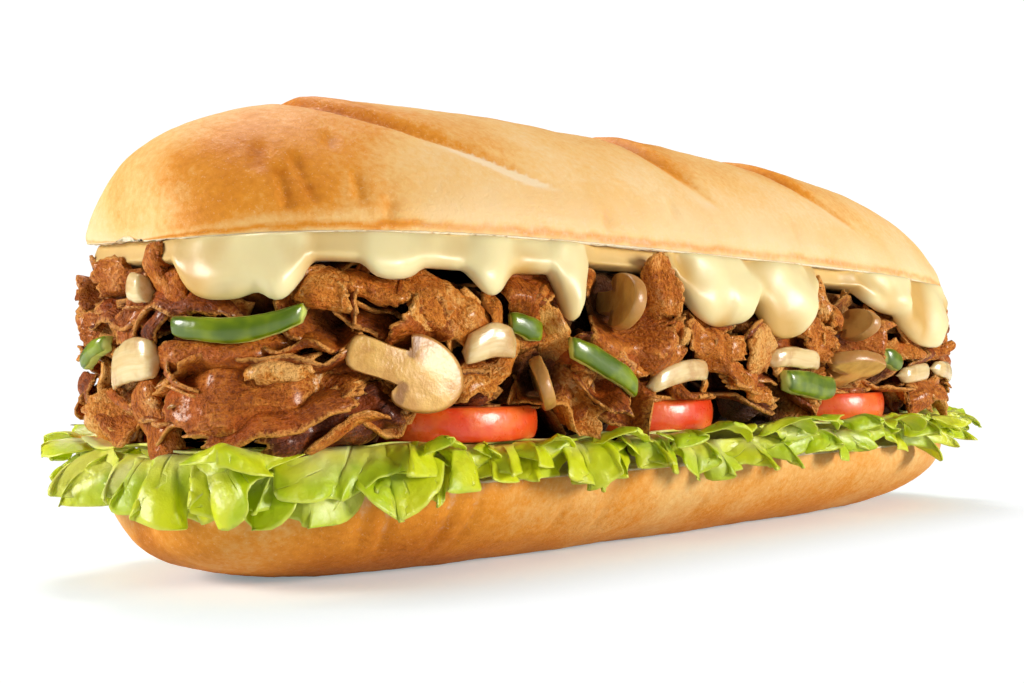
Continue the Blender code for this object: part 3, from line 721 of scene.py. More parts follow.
def lower_roll(finish, steps=280, arc=72, floor=16):
    """The shallow lower half, resting on its flat."""
    share = np.sin(np.pi * (np.arange(1, steps) / steps - 0.5))[:, None]
    width = (HALF_WIDTH - LOWER_INSET) * profile(share, OUTLINE_POWER)
    depth = (LOWER_TOP + LOWER_SUNK) * profile(share, LOWER_LENGTH_POWER)
    turn = np.pi * np.arange(arc + 1)[None, :] / arc
    x = LOWER_SHIFT + (HALF_LENGTH - LOWER_INSET) * share + 0 * turn
    y = -width * np.cos(turn)
    down = np.abs(np.sin(turn)) + 0 * x
    z = LOWER_TOP - depth * down
    shell = np.stack([x, y, z], -1)
    normal = crust_normals(shell)
    normal *= -np.sign(np.median(normal[..., 2]))
    near_cut = smooth_share(down, 0.0, 0.2)
    swell = 0.45 * MM * lumps(shell, 22 * MM, 13) + 0.14 * MM * lumps(shell, 5 * MM, 14)
    skin = 0.05 * MM * lumps(shell, 1.5 * MM, 15)
    shell = shell + normal * ((swell + skin - dents(shell)) * near_cut)[..., None]
    shell[..., 2] = np.maximum(0, shell[..., 2])
    across = 1 - 2 * np.arange(1, floor)[None, :] / floor
    top_y = width * across
    top_x = LOWER_SHIFT + (HALF_LENGTH - LOWER_INSET) * share + 0 * across
    top = np.stack([top_x, top_y, LOWER_TOP + 0 * top_x], -1)
    top[..., 2] += 0.3 * MM * lumps(top, 1.8 * MM, 16) * smooth_share(1 - np.abs(across), 0.0, 0.1)
    rings = np.concatenate([shell, top], 1)
    height = np.concatenate([down, 0 * top_x - 1], 1)
    brown = 0.36 + 0.14 * smooth_share(height, 0.2, 0.9)
    # Painted shade: a browner band round the left part of the lower half, on both sides.
    middle = smooth_share(np.abs(rings[..., 0] + 80 * MM), 46 * MM, 10 * MM)
    brown = brown + 0.22 * middle + 0.2 * smooth_share(height, 0.93, 1.0)
    pale = 0.25 * smooth_share(height, 0.35, 0.05)
    pale = pale + 1.1 * np.concatenate([dents(shell), 0 * top_x], 1) / MM / 2
    crumb = np.where(height < 0, 1.0, smooth_share(height, 0.05, 0.0))
    batch = Batch()
    marks = {"brown": with_ends(brown), "pale": with_ends(pale), "crumb": with_ends(crumb)}
    batch.add(*tube(rings), **marks)
    return batch.piece("roll_lower_half", ["bun_bottom"], finish)


# Lettuce

LEAVES = (
    # name, start and end along the rim, phase
    ("lettuce_near_left", -24, 128, 0.4),
    ("lettuce_near_right", 131.5, 294, 1.7),
    ("lettuce_far_right", 297.5, 448, 0.9),
    ("lettuce_far_left", 451.5, 612, 2.6),
)
LEAF_INNER = -24
LEAF_OUTER = 0.4
BED_RISE = 4.2
LEAF_LOWEST = 14.8
LEAF_HIGHEST = 30.4
# Flaps that show: place along the rim, width, growth and height at the root, length, hang and
# curl in degrees, folds, fold depth, fold phase, slant to the right, and how pale the flap is
FLAPS = (
    (-23, 15, 0.0, 25.6, 11.5, -6, 38, 0.8, 1.2, 0.6, 3, 0.45),
    (-13, 20, -1.0, 24.4, 13.5, 18, 52, 1.5, 1.7, 1.2, 3, 0.95),
    (-1, 21, -1.0, 23.8, 13.0, 24, 48, 1.6, 1.7, 0.2, 4, 0.80),
    (8, 13, 0.0, 23.4, 13.0, 30, 52, 1.0, 1.3, 2.6, 1, 0.15),
    (17, 17, 1.0, 24.6, 15.5, 26, 62, 0.9, 2.4, 3.6, 3, 0.10),
    (31, 19, 3.2, 25.4, 10.5, -34, 86, 1.0, 1.7, 1.8, 1, 0.20),
    (25, 14, 1.0, 24.0, 14.5, 30, 50, 1.2, 1.9, 5.0, 6, 0.25),
    (37, 16, 1.0, 23.6, 12.0, 26, 52, 1.0, 1.5, 0.4, -3, 0.35),
    (51, 31, 0.0, 25.8, 14.5, 20, 46, 0.8, 1.6, 4.3, -2, 0.30),
    (64, 16, 1.0, 26.0, 11.5, 8, 66, 0.9, 2.6, 2.2, 1, 0.12),
    (69, 10, 3.0, 25.6, 8.5, -42, 70, 0.8, 1.6, 0.8, 2, 0.05),
    (76, 15, 1.0, 25.2, 11.5, 16, 68, 1.0, 2.4, 4.0, 1, 0.10),
    (86, 13, 1.4, 24.8, 9.0, 10, 62, 1.2, 1.8, 1.0, 0, 0.20),
    (94, 16, 1.0, 25.2, 9.5, 6, 70, 1.1, 2.0, 3.0, 2, 0.05),
    (101, 13, 3.0, 25.4, 7.5, -38, 72, 0.8, 1.6, 2.4, -1, 0.10),
    (108, 20, 0.5, 24.6, 13.0, 16, 58, 1.1, 2.0, 5.2, 3, 0.15),
    (117, 20, 3.0, 26.0, 8.5, -30, 60, 0.9, 1.5, 1.6, 2, 0.35),
    (126, 19, 0.5, 25.0, 10.5, 14, 60, 1.3, 2.2, 0.9, 3, 0.10),
    (134, 18, 0.5, 25.0, 10.0, 18, 58, 1.2, 2.1, 2.2, -2, 0.10),
    (137, 14, 2.6, 25.0, 7.5, -24, 70, 1.0, 1.9, 0.2, 1, 0.10),
    (152, 17, 3.0, 25.6, 8.5, -32, 66, 0.9, 1.8, 3.1, 2, 0.20),
    (176, 18, 3.0, 26.0, 8.0, -34, 66, 0.9, 1.7, 2.0, 2, 0.25),
    (190, 16, 3.2, 26.4, 9.0, -38, 60, 0.8, 1.9, 4.4, 1, 0.05),
    (206, 13, 3.0, 25.8, 8.0, -30, 70, 1.1, 1.8, 0.9, 2, 0.10),
    (231, 15, 3.0, 25.2, 8.0, -20, 60, 1.0, 1.8, 2.9, 1, 0.25),
    (262, 18, 1.0, 25.0, 10.5, 2, 40, 1.3, 1.6, 1.3, 4, 0.35),
    (279, 17, 1.0, 25.2, 11.0, -4, 36, 1.2, 1.5, 3.7, 3, 0.40),
)
FLAP_PITCH = 12.5
FLAP_RISE = 2.8
# Furthest growth of a flap, and how much less it is round a place just short of the left tip
FLAP_REACH = 10.8
TIP_PULL = 3.0
TIP_PLACE = -24
TIP_SPREAD = 12
# A drawn flap of the upper layer keeps this far from a flap that shows
SHOWN_CLEARANCE = 6


def flap(batch, place, width, root, level, length, hang, curl, folds, depth, phase, slant, pale):
    """One rounded flap: it leaves the filling, bends downwards or up, and folds at its margin."""
    rows, columns = 13, int(10 + width)
    u = np.linspace(-1, 1, columns)[None, :] + np.zeros((rows, 1))
    t = np.linspace(0, 1, rows)[:, None] ** 0.8 + 0 * u
    run = u * width / 2
    edge_spots = np.stack([run + place, 0 * run, 0 * run + phase * 7], -1)
    notches = 0.26 * lumps(edge_spots, 6, 21) + 0.08 * lumps(edge_spots, 2.4, 22)
    skirt = 1 - 0.9 * np.abs(u) ** 1.7 + notches
    reach = length * np.maximum(0.08, skirt)
    bend = np.radians(hang + curl * t + 14 * u * math.sin(phase))
    step = np.diff(t, axis=0, prepend=0 * t[:1]) * reach
    out = root + np.cumsum(np.cos(bend) * step, axis=0)
    height = level + FLAP_RISE - np.cumsum(np.sin(bend) * step, axis=0)
    turn = 1.3 * math.pi * folds * u + phase + 0.8 * lumps(edge_spots, 9, 23)
    swing = 1.3 * depth * t**1.1 * np.sin(turn)
    ruffle = 2 * np.pi * run / 5.2 + 3 * lumps(edge_spots, 8, 24)
    frill = 0.75 * t**4 * np.sin(ruffle) * (0.6 + 0.4 * lumps(edge_spots, 11, 20))
    spots = np.stack([run + place, 9 * t, 0 * t + phase * 5], -1)
    blister = 0.34 * lumps(spots, 2.6, 25) * smooth_share(t, 0.15, 0.5)
    twig = np.abs(np.sin(3.6 * np.pi * u * (1 - 0.35 * t) + 3.2 * t + lumps(spots, 5, 27))) ** 14
    twig = twig * smooth_share(t, 0, 0.4)
    swing = swing + frill + blister - 0.3 * twig + 1.1 * t * lumps(spots, 7, 26)
    distance = place + run * (0.62 + 0.38 * t) + slant * t + 0.95 * depth * t * np.sin(2 * turn + 0.5)
    distance = distance + 0.5 * t**4 * np.cos(ruffle)
    out = out + swing * np.sin(bend)
    height = np.clip(height + swing * np.cos(bend), LEAF_LOWEST, LEAF_HIGHEST)
    span = RIM / MM
    tip_off = np.mod(distance - TIP_PLACE + span / 2, span) - span / 2
    limit = FLAP_REACH - TIP_PULL * np.exp(-((tip_off / TIP_SPREAD) ** 2))
    points = on_side(distance * MM, np.minimum(out, limit) * MM, height * MM)
    rib = np.exp(-((u / (0.10 + 0.05 * t)) ** 2)) * (1 - 0.7 * t)
    marks = {"reach": twice(t), "vein": twice(np.maximum(rib, 0.8 * twig))}
    thickness = LEAF_THICKNESS * (0.9 - 0.5 * t)
    batch.add(*slab(points, thickness), pale=np.full(2 * t.size, pale), **marks)


def leaf_bed(batch, start, end, phase, rows=12):
    """The flat of a leaf under the filling, with a soft wave."""
    columns = int((end - start) * 0.8)
    distance = np.linspace(start, end, columns)[None, :] + np.zeros((rows, 1))
    out = np.linspace(0, 1, rows)[:, None] + 0 * distance
    spots = np.stack([distance, 20 * out, 0 * out + phase * 31], -1)
    grow = LEAF_INNER + (LEAF_OUTER - LEAF_INNER) * out + 1.3 * lumps(spots, 12, 28) * out
    height = 24.0 + BED_RISE * smooth_share(out, 0.2, 0.8)
    height = height + 0.5 * np.sin(distance / 4.4 + phase) * out + 0.5 * lumps(spots, 9, 29) * out
    points = on_side(distance * MM, grow * MM, height * MM)
    marks = {"reach": np.full(2 * out.size, 0.1), "vein": np.zeros(2 * out.size)}
    batch.add(*slab(points, LEAF_THICKNESS + 0 * out), pale=np.full(2 * out.size, 0.7), **marks)


def drawn_flaps(draw, start, end, shown):
    """Flaps drawn from the seed that fill the rest of a leaf's edge, in two layers."""
    flaps = []
    count = round((end - start) / FLAP_PITCH)
    for layer in range(2):
        for k in range(count):
            place = start + (end - start) * (k + 0.5 + draw.uniform(-0.3, 0.3)) / count
            width, length = draw.uniform(16, 30), draw.uniform(7.5, 14.5)
            hang, curl = draw.uniform(6, 36), draw.uniform(34, 70)
            root, level = draw.uniform(-1.5, 0.5), draw.uniform(22.6, 23.8)
            if layer:
                hang, curl = draw.uniform(-30, 12), draw.uniform(45, 80)
                root, level, length = draw.uniform(0.5, 2.4), draw.uniform(24.4, 25.8), length * 0.78
            folds, depth, phase = draw.uniform(0.9, 1.5), draw.uniform(1.3, 2.4), draw.uniform(0, 6.2)
            slant, pale = draw.uniform(-2, 4), draw.betavariate(1.4, 3.4)
            clear = all(abs(place - f[0]) > SHOWN_CLEARANCE for f in shown)
            if clear or layer == 0:
                shape = (place, width, root, level, length, hang, curl)
                flaps.append((*shape, folds, depth, phase, slant, pale))
    return flaps


def lettuce(finish, seed=3):
    draw = random.Random(seed)
    for name, start, end, phase in LEAVES:
        batch = Batch()
        leaf_bed(batch, start, end, phase)
        shown = [f for f in FLAPS if start <= f[0] <= end]
        for sizes in (*shown, *drawn_flaps(draw, start + 4, end - 4, shown)):
            flap(batch, *sizes)
        batch.piece(f"{name}_leaf", [name], finish)


# Tomato

TOMATO_PLACES = {
    "tomato_near_left": (-75, -19.4),
    "tomato_near_middle": (-14, -19.4),
    "tomato_near_right": (64, -19.2),
    "tomato_far_left": (-107, 16.6),
    "tomato_far_middle": (-44.5, 18.6),
    "tomato_far_right": (16, 19.4),
    "tomato_far_end": (99.5, 15.8),
}
TOMATO_WINDOW = 18


def tomato_slices(finish, sides=80):
    """Round slices with a bulging skin and slightly uneven cut faces."""
    for k, (name, (x, y)) in enumerate(TOMATO_PLACES.items()):
        turn = 2 * np.pi * np.arange(sides) / sides
        inner = np.linspace(0.06, 0.93, 9)
        bend = np.linspace(-0.5, 0.5, 11) * np.pi
        shares = np.concatenate([inner, 0.955 + 0.045 * np.cos(bend), inner[::-1]])[:, None]
        levels = np.concatenate([0 * inner - 1, np.sin(bend), 0 * inner + 1])[:, None]
        wobble = 1 + 0.012 * np.sin(3 * turn + k) + 0.008 * np.sin(5 * turn + 2 * k) - 0.012
        radius = TOMATO_RADIUS * shares * wobble
        height = TOMATO_BASE + TOMATO_THICKNESS / 2 * (1 + levels * (1 - 0.05 * shares)) + 0 * turn
        rings = np.stack([x * MM + radius * np.cos(turn), y * MM + radius * np.sin(turn), height], -1)
        rings[..., 2] += 0.25 * MM * lumps(rings, 5 * MM, 31) * (shares < 0.94)
        cut = smooth_share(shares, 0.975, 0.935) + 0 * turn
        batch = Batch()
        batch.add(*tube(rings), cut=with_ends(cut))
        batch.piece(f"{name}_slice", [name], finish)


# Melted cheese

CHEESE_RUNS = (
    # middle along the rim, half width and lowest height, in mm, and how square the run is
    (62, 51, 62.6, 9),
    (27, 10.5, 56.4, 2.4),
    (37.5, 5, 56.2, 2),
    (60, 8, 60.8, 2),
    (83, 6, 58, 1.6),
    (105, 4.2, 53.2, 3),
    (168, 30, 59.5, 5),
    (155, 14, 52.6, 2.2),
    (181, 11.5, 50, 2.4),
    (247, 33, 56.5, 2.2),
    (252, 17, 47.9, 2.4),
)
TIP_BLUR = 1.1 * MM


def cheese_tip_at(distance):
    """Height of the cheese's lower edge, before its corners are softened."""
    place = np.mod(distance, HALF_RIM) / MM
    tip = np.full_like(place, CHEESE_EDGE)
    for middle, half, lowest, power in CHEESE_RUNS:
        share = np.minimum(1, np.abs(place - middle) / half)
        tip = np.minimum(tip, CHEESE_EDGE - (CHEESE_EDGE - lowest * MM) * np.sqrt(1 - share**power))
    return tip


def cheese_tip(distance):
    """Height of the cheese's lower edge, softened along the rim."""
    steps = np.linspace(-2, 2, 9)
    weights = np.exp(-(steps**2) / 2)
    shifted = sum(w * cheese_tip_at(distance + s * TIP_BLUR) for s, w in zip(steps, weights))
    return shifted / weights.sum()


def cheese_shoulder(distance):
    """How far the cheese stands out beyond the rim: more where it hangs lower."""
    hang = (CHEESE_EDGE - cheese_tip(distance)) / (CHEESE_EDGE - 48 * MM)
    return -0.8 * MM + 5.6 * MM * np.sqrt(np.clip(hang, 0, 1))


def melted_cheese(finish, stations=600, across=40):
    """A smooth layer whose edge hangs down in thick rounded runs with soft folds."""
    distance = RIM * np.arange(stations) / stations
    out = cheese_shoulder(distance)
    tip = cheese_tip(distance)
    edge = on_side(distance, out - CHEESE_WALL / 2, 0.0)
    lid = lid_height(edge[:, 0], edge[:, 1])
    under, top = lid - CHEESE_DROP, lid + CRUST_GAP
    middle = on_side(distance, CHEESE_MIDDLE, 0.0)
    middle_lid = lid_height(middle[:, 0], middle[:, 1])
    hang = smooth_share(under - 0.6 * MM - tip, 0.0, 2.5 * MM)
    wall = CHEESE_WALL * (1 + 0.25 * lumps(np.stack([distance / MM, 0 * distance, 0 * distance], -1), 9, 41))
    hung = (
        (out - wall - 2.5 * MM, under),
        (out - wall - 0.2 * MM, (under + tip) / 2),
        (out - 0.75 * wall, tip - 0.8 * MM),
        (out + 0.3 * MM, tip - 0.2 * MM),
        (out + 1.6 * MM, tip + 0.3 * (top - tip)),
        (out - 0.9 * MM, top - 0.32 * (top - tip)),
        (out - 2.2 * MM, top - 0.02 * (top - tip)),
    )
    shallow = (
        (out - wall - 2.5 * MM, under),
        (out - wall - 1.2 * MM, under),
        (out - 0.55 * wall, under + 0.2 * MM),
        (out + 0.1 * MM, under + 0.9 * MM),
        (out - 0.2 * MM, under + 1.6 * MM),
        (out - 0.6 * MM, under + 2.4 * MM),
        (out - 1.2 * MM, top - 0.2 * MM),
    )
    section = [(0 * out + CHEESE_MIDDLE, middle_lid - 0.7 * CHEESE_DROP)]
    for (deep, low), (far, high) in zip(hung, shallow):
        section.append((far + (deep - far) * hang, high + (low - high) * hang))
    section.append((out - 3.6 * MM, top))
    section.append((0 * out + CHEESE_MIDDLE, middle_lid - CRUST_GAP - 0.3 * MM))
    controls = np.stack([np.stack(pair, -1) for pair in section], 1)
    curve = soft_curve(controls, across)
    reach, height = curve[..., 0], curve[..., 1]
    spots = np.stack([distance[:, None] / MM + 0 * reach, height / MM * 0.8, 0 * reach], -1)
    front = smooth_share(reach, -3 * MM, 0.0) * hang[:, None]
    folds = lumps(spots, 9.5, 42) * 2.1 + lumps(spots, 4.6, 43) * 0.6
    reach = reach + front * np.minimum(folds, 0.9 + 0.3 * folds) * MM
    points = on_side(distance[:, None], reach, height)
    # The fold mark is painted shade: darker in the hollows between bulges, and darker still wherever the
    # cheese does not hang out in front.
    fold = np.clip(0.30 - 0.55 * folds, 0, 1) * front + (1 - front) * 0.8
    batch = Batch()
    batch.add(*tube(np.moveaxis(points, 0, 1)), fold=with_ends(fold.T))
    return batch.piece("cheese_layer", ["melted_cheese"], finish)


# Toppings: start and end along the rim, heights at both, size, bow, stand-out, in mm

PEPPERS = {
    "pepper_long": (17.5, 42.5, (51.6, 53.8), (4.8, 3.4), -2.0, 1.6),
    "pepper_slanting": (104.5, 125, (47.8, 38.6), (5.6, 3.2), 0.8, 2.4),
    "pepper_lens": (182, 203, (39.4, 36.8), (6.6, 3.4), 0.0, 1.4),
    "pepper_tuck_left": (88.5, 97.5, (52.6, 50.6), (5.0, 2.8), 0.0, 0.2),
    "pepper_tuck_right": (232, 240.5, (45.2, 43.4), (5.4, 2.6), 0.0, 0.4),
    "pepper_end": (624, 634, (44.2, 48.2), (3.8, 2.6), 0.6, 1.0),
}
ONIONS = {
    "onion_band": (76, 90.2, (46.6, 48.0), (6.4, 3.0), 1.6, 2.2),
    "onion_end": (-4, 12.5, (42.0, 45.0), (7.6, 2.8), 1.4, 1.4),
    "onion_tuck": (131, 153, (38.4, 41.6), (4.6, 2.8), 1.8, 1.2),
    "onion_flat": (175, 197.5, (44.6, 44.0), (4.6, 3.0), 0.8, 2.2),
    "onion_back": (243, 261, (39.6, 40.6), (4.6, 2.6), 0.6, 1.0),
    "onion_tail": (264.5, 283, (41.6, 38.8), (4.4, 2.6), 0.8, 2.0),
    "onion_bit": (3.4, 9.6, (58.8, 58.2), (5.2, 3.2), 0.2, 1.6),
}
# Mushroom slices: place, height, (width, length, thickness), turn in degrees, stand-out
MUSHROOMS = {
    "mushroom_cap_left": (65, 42.6, (15.5, 27, 3.6), (8, 108, 4), 3.4),
    "mushroom_edge_high": (121.5, 57.6, (13, 22, 3.8), (78, -80, 6), 1.2),
    "mushroom_edge_low": (97.5, 40.2, (12, 20, 3.4), (70, -112, 0), 0.8),
    "mushroom_cap_right": (214, 42.0, (21, 16, 3.6), (60, 8, 0), 1.4),
    "mushroom_stem_right": (215.5, 53.6, (9, 17, 3.2), (72, -70, 4), 0.6),
}
FAR_TOPPINGS = (
    "pepper_long",
    "pepper_slanting",
    "pepper_lens",
    "onion_band",
    "onion_tuck",
    "onion_flat",
    "onion_tail",
    "mushroom_cap_left",
    "mushroom_edge_high",
    "mushroom_cap_right",
)


def all_toppings():
    near = [(name, name, 0.0) for name in (*PEPPERS, *ONIONS, *MUSHROOMS)]
    return near + [(name, f"far_{name}", HALF_RIM) for name in FAR_TOPPINGS]


def strip(name, label, shift, finish, steps=36, sides=24):
    """A strip along the side: pepper has a skin side and a hollowed wall side, onion is rounder."""
    start, end, heights, size, bow, out = (PEPPERS | ONIONS)[name]
    is_pepper = name in PEPPERS
    share = np.linspace(0, 1, steps)[:, None]
    taper = 0.72 + 0.28 * np.sin(np.pi * share) ** 0.5
    close = smooth_share(np.minimum(share, 1 - share), -0.012, 0.03 if is_pepper else 0.10)
    turn = 2 * np.pi * np.arange(sides)[None, :] / sides
    squareness = 0.55 if is_pepper else 0.75
    up = signed_power(np.sin(turn), squareness) * size[0] / 2 * taper * close
    across = signed_power(np.cos(turn), squareness) * size[1] / 2 * (0.35 + 0.65 * close)
    crown = 1 - (2 * up / size[0]) ** 2
    across = across + (0.45 if is_pepper else 0.25) * crown * (np.cos(turn) > -0.3)
    hollow = smooth_share(-np.cos(turn), 0.2, 0.9) * crown * (0.8 if is_pepper else 0.2)
    across = across + hollow
    if not is_pepper:
        up, across = up * 1.12, across * 0.72
    across = across - (0.9 if is_pepper else 2.2) * np.abs(2 * share - 1) ** 5
    drift = lumps(np.stack([share * 5, 0 * share, 0 * share + start], -1), 1.6, 51)
    middle = heights[0] + (heights[1] - heights[0]) * share + bow * np.sin(np.pi * share) + 0.4 * drift
    distance = start + (end - start) * share + 0.25 * up * (1 if is_pepper else -1) * (share - 0.5)
    rows = np.stack([distance, out + across, middle + up], -1)
    rows = rows + 0.12 * lumps(rows, 2.6, 52)[..., None]
    points = on_side(shift + rows[..., 0] * MM, rows[..., 1] * MM, rows[..., 2] * MM)
    wall = smooth_share(-np.cos(turn), -0.62, -0.30) + 0 * share
    wall = np.maximum(wall, 1 - smooth_share(np.minimum(share, 1 - share), 0.0, 0.05))
    grain = np.stack([distance + 0 * up, up, across], -1)
    batch = Batch()
    batch.add(*tube(points), wall=with_ends(wall), grain=with_ends(grain))
    return batch.piece(f"{label}_strip", [label], finish)


def mushroom_outline(width, length, stem, count=96):
    """The cut face of a sliced mushroom: a domed cap with rolled ends over a flared stem."""
    turns = [math.pi * k / 8 for k in range(9)]
    cap = [(0.5 * width * math.cos(turn), 0.42 * length * math.sin(turn)) for turn in turns]
    stem_top, stem_low = 0.85 * stem * width, stem * width
    left = [
        (-0.46 * width, -0.13 * length),
        (-0.34 * width, -0.15 * length),
        (-stem_top, -0.03 * length),
        (-0.9 * stem_top, -0.32 * length),
        (-stem_low, -0.55 * length),
    ]
    right = [(-x, y) for x, y in reversed(left)]
    corners = np.array(cap + left + [(0, -0.58 * length)] + right)
    loop = np.concatenate([corners[-2:], corners, corners[:2]])
    curve = soft_curve(loop, 4 * count)
    angle = np.unwrap(np.arctan2(curve[:, 1], curve[:, 0]))
    places = np.linspace(angle[0], angle[0] + 2 * np.pi, count, endpoint=False)
    order = np.argsort(angle)
    return np.stack([np.interp(places, angle[order], curve[order, k]) for k in range(2)], -1)


def mushroom_rows(name):
    """A slice's points beside the side: distance along, growth outwards and height, in mm."""
    place, height, (width, length, thick), turn, out = MUSHROOMS[name]
    outline = mushroom_outline(width, length, 0.27 if name == "mushroom_cap_left" else 0.24)
    inner = np.linspace(0.05, 0.9, 12)
    bend = np.linspace(-0.5, 0.5, 9) * np.pi
    shares = np.concatenate([inner, 0.93 + 0.07 * np.cos(bend), inner[::-1]])[:, None]
    levels = np.concatenate([0 * inner - 1, np.sin(bend), 0 * inner + 1])[:, None]
    x, z = outline[:, 0] * shares, outline[:, 1] * shares
    bow = 0.010 * (x**2 + 0.3 * z**2)
    y = levels * thick / 2 * (1 - 0.08 * shares) + bow + 0 * x
    local = np.stack([x, y, z], -1)
    local[..., 1] += 0.18 * lumps(local, 3.5, 61)
    turned = local @ np.array(Euler([math.radians(a) for a in turn]).to_matrix()).T
    rows = np.stack([place + turned[..., 0], out - turned[..., 1], height + turned[..., 2]], -1)
    gill = np.exp(-(((z / length + 0.07) / 0.07) ** 2)) * smooth_share(np.abs(x) / width, 0.08, 0.2)
    stem = np.exp(-((x / width / 0.05) ** 2)) * smooth_share(-z / length, -0.1, 0.2) * 0.5
    return rows, np.maximum(gill, stem), shares + 0 * x


def mushroom(name, label, shift, finish):
    rows, gill, rim = mushroom_rows(name)
    points = on_side(shift + rows[..., 0] * MM, rows[..., 1] * MM, rows[..., 2] * MM)
    batch = Batch()
    batch.add(*tube(points), gill=with_ends(gill), rim=with_ends(rim))
    return batch.piece(f"{label}_slice", [label], finish)


# Shaved beef

SHIELD_STEPS = 9
TIP_MIDDLE = 14
FURTHEST = 6.0
FURTHEST_TIP = 1.8
HANG_OVER = 3.4


def topping_shields():
    """Discs that hold the beef behind each topping: distance, height, radius and back, in mm."""
    discs = []
    for name, _, shift in all_toppings():
        if name in MUSHROOMS:
            rows, _, rim = mushroom_rows(name)
            spots = rows[(rim > 0.35) & (rim < 0.8)][::37]
            discs += [(shift / MM + s, z, 2.6, g - 2.0) for s, g, z in spots]
            continue
        start, end, heights, size, bow, out = (PEPPERS | ONIONS)[name]
        for share in np.linspace(0.06, 0.94, SHIELD_STEPS):
            z = heights[0] + (heights[1] - heights[0]) * share + bow * math.sin(math.pi * share)
            spot = shift / MM + start + (end - start) * share
            discs.append((spot, z, size[0] / 2 * 0.9, out - size[1] / 2))
    return np.array(discs)


def settle(rows, shields):
    """Keeps beef behind toppings and cheese, above tomatoes and under the roll. Rows are in mm."""
    s, g, z = np.moveaxis(rows, -1, 0)
    span = RIM / MM
    tip_off = np.abs(np.mod(s + TIP_MIDDLE + HALF_RIM / MM / 2, HALF_RIM / MM) - HALF_RIM / MM / 2)
    furthest = FURTHEST + (FURTHEST_TIP - FURTHEST) * smooth_share(tip_off, 40, 22)
    g = g - 0.8 * max(0, float(np.max(g - furthest)))
    g = np.where(g > furthest - 1.0, furthest - 1.0 + 1.5 * np.tanh((g - furthest + 1.0) / 1.5), g)
    middle = s.mean()
    gap = np.abs(np.mod(shields[:, 0] - middle + span / 2, span) - span / 2)
    for spot, level, radius, back in shields[gap < 34]:
        near = np.mod(s - spot + span / 2, span) - span / 2
        away = np.maximum(0, np.hypot(near, z - level) - radius)
        g = np.minimum(g, back - 0.4 + 1.3 * away)
    tip = cheese_tip(s * MM) / MM
    shoulder = cheese_shoulder(s * MM) / MM
    behind = shoulder - CHEESE_WALL / MM - 0.6 + 1.4 * np.maximum(0, tip - 0.8 - z)
    g = np.where(tip < CHEESE_EDGE / MM - 2, np.minimum(g, behind), g)
    lid = lid_over(s * MM, g * MM) / MM
    ceiling = lid - 6.0 + 5.0 * smooth_share(g, -1.8, 0.4)
    z = np.minimum(z, ceiling)
    points = on_side(s * MM, g * MM, z * MM)
    base = BEEF_LOWEST / MM - 0.6 - HANG_OVER * smooth_share(g, -1.5, 1.5)
    floor = base + 0 * z
    top = (TOMATO_BASE + TOMATO_THICKNESS) / MM + 0.9
    for x, y in TOMATO_PLACES.values():
        off = np.abs(points[..., 0] / MM - x) + 60 * (points[..., 1] * y < 0)
        window = smooth_share(off, TOMATO_WINDOW + 5, TOMATO_WINDOW)
        floor = np.maximum(floor, base + (top - base) * window)
    z = np.maximum(z, floor + 0.12 * (z - floor))
    return np.stack([s, g, z], -1)


def shaving(place, size, turn, curl, ripple, draw, rows, columns):
    """One slice's middle sheet in mm: torn and rounded, curled across, pleated along its grain."""
    length, width = size
    u = np.linspace(-1, 1, columns)[None, :] + 0 * np.zeros((rows, 1))
    v = np.linspace(-1, 1, rows)[:, None] + 0 * u
    edge = np.maximum(np.abs(u), np.abs(v))
    x = u * np.sqrt(1 - 0.34 * v * v)
    y = v * np.sqrt(1 - 0.34 * u * u)
    way = np.arctan2(y, x)
    rag = sum(
        draw.uniform(0.3, 1) * 0.17 / k**0.42 * np.sin(k * way + draw.uniform(0, 6.3))
        for k in (1, 2, 3, 5, 8, 12, 18, 26)
    )
    grown = 1 + rag * edge**2.5
    flat_x, flat_y = x * grown * length / 2, y * grown * width / 2
    seed = draw.randrange(10000)
    spots = np.stack([flat_x, flat_y, 0 * flat_x + seed * 3.7], -1)
    bend = curl * (1 + 0.6 * draw.uniform(-1, 1) * x)
    bend = np.where(np.abs(bend) < 0.05, 0.05, bend)
    radius = width / 2 / bend
    across = radius * np.sin(flat_y / radius)
    lift = radius * (1 - np.cos(flat_y / radius))
    pitch, pleat = draw.uniform(10, 18), draw.uniform(3.2, 5.5)
    lift = lift + ripple * np.sin(2 * np.pi * flat_x / pitch + draw.uniform(0, 6.3) + 0.10 * flat_y)
    wander = flat_y + 1.2 * lumps(spots * (0.4, 1, 1), 5, 70) + draw.uniform(-0.25, 0.25) * flat_x
    lift = lift + 0.42 * ripple * (np.abs(np.sin(np.pi * wander / pleat)) - 0.6)
    lift = lift + draw.uniform(-0.02, 0.02) * flat_x**2 + 0.45 * lumps(spots, 5.5, 71)
    local = np.stack([flat_x, lift, across], -1)
    local[..., 0] += 0.5 * lumps(spots, 4.0, 73)
    local[..., 2] += 0.5 * lumps(spots, 4.0, 74)
    turned = local @ np.array(Euler(turn).to_matrix()).T
    s, g, z = place
    placed = np.stack([s + turned[..., 0], g - turned[..., 1], z + turned[..., 2]], -1)
    return placed, edge, spots


def add_shaving(batch, shields, draw, place, size, thick, turn, curl, ripple, tint, cells):
    placed, edge, spots = shaving(place, size, turn, curl, ripple, draw, *cells)
    placed = settle(placed, shields)
    crumbly = 0.3 + 0.7 * tint
    grit = crumbly * (0.40 * lumps(spots, 3.2, 75) + 0.25 * np.abs(lumps(spots, 1.7, 76)))
    thickness = thick * (1 + grit) * (1 - 0.65 * edge**6)
    placed = placed + 0.30 * crumbly * lumps(spots, 3.0, 77)[..., None]
    points, faces = slab(placed, thickness)
    # How far in the slice lies, for painted shade deeper in the heap.
    inward = smooth_share(points[:, 1], 0.0, -6.0)
    points = on_side(points[:, 0] * MM, points[:, 1] * MM, points[:, 2] * MM)
    tints = np.full(len(points), tint)
    batch.add(points, faces, tint=tints, edge=twice(edge), inward=inward, grain=twice(spots))


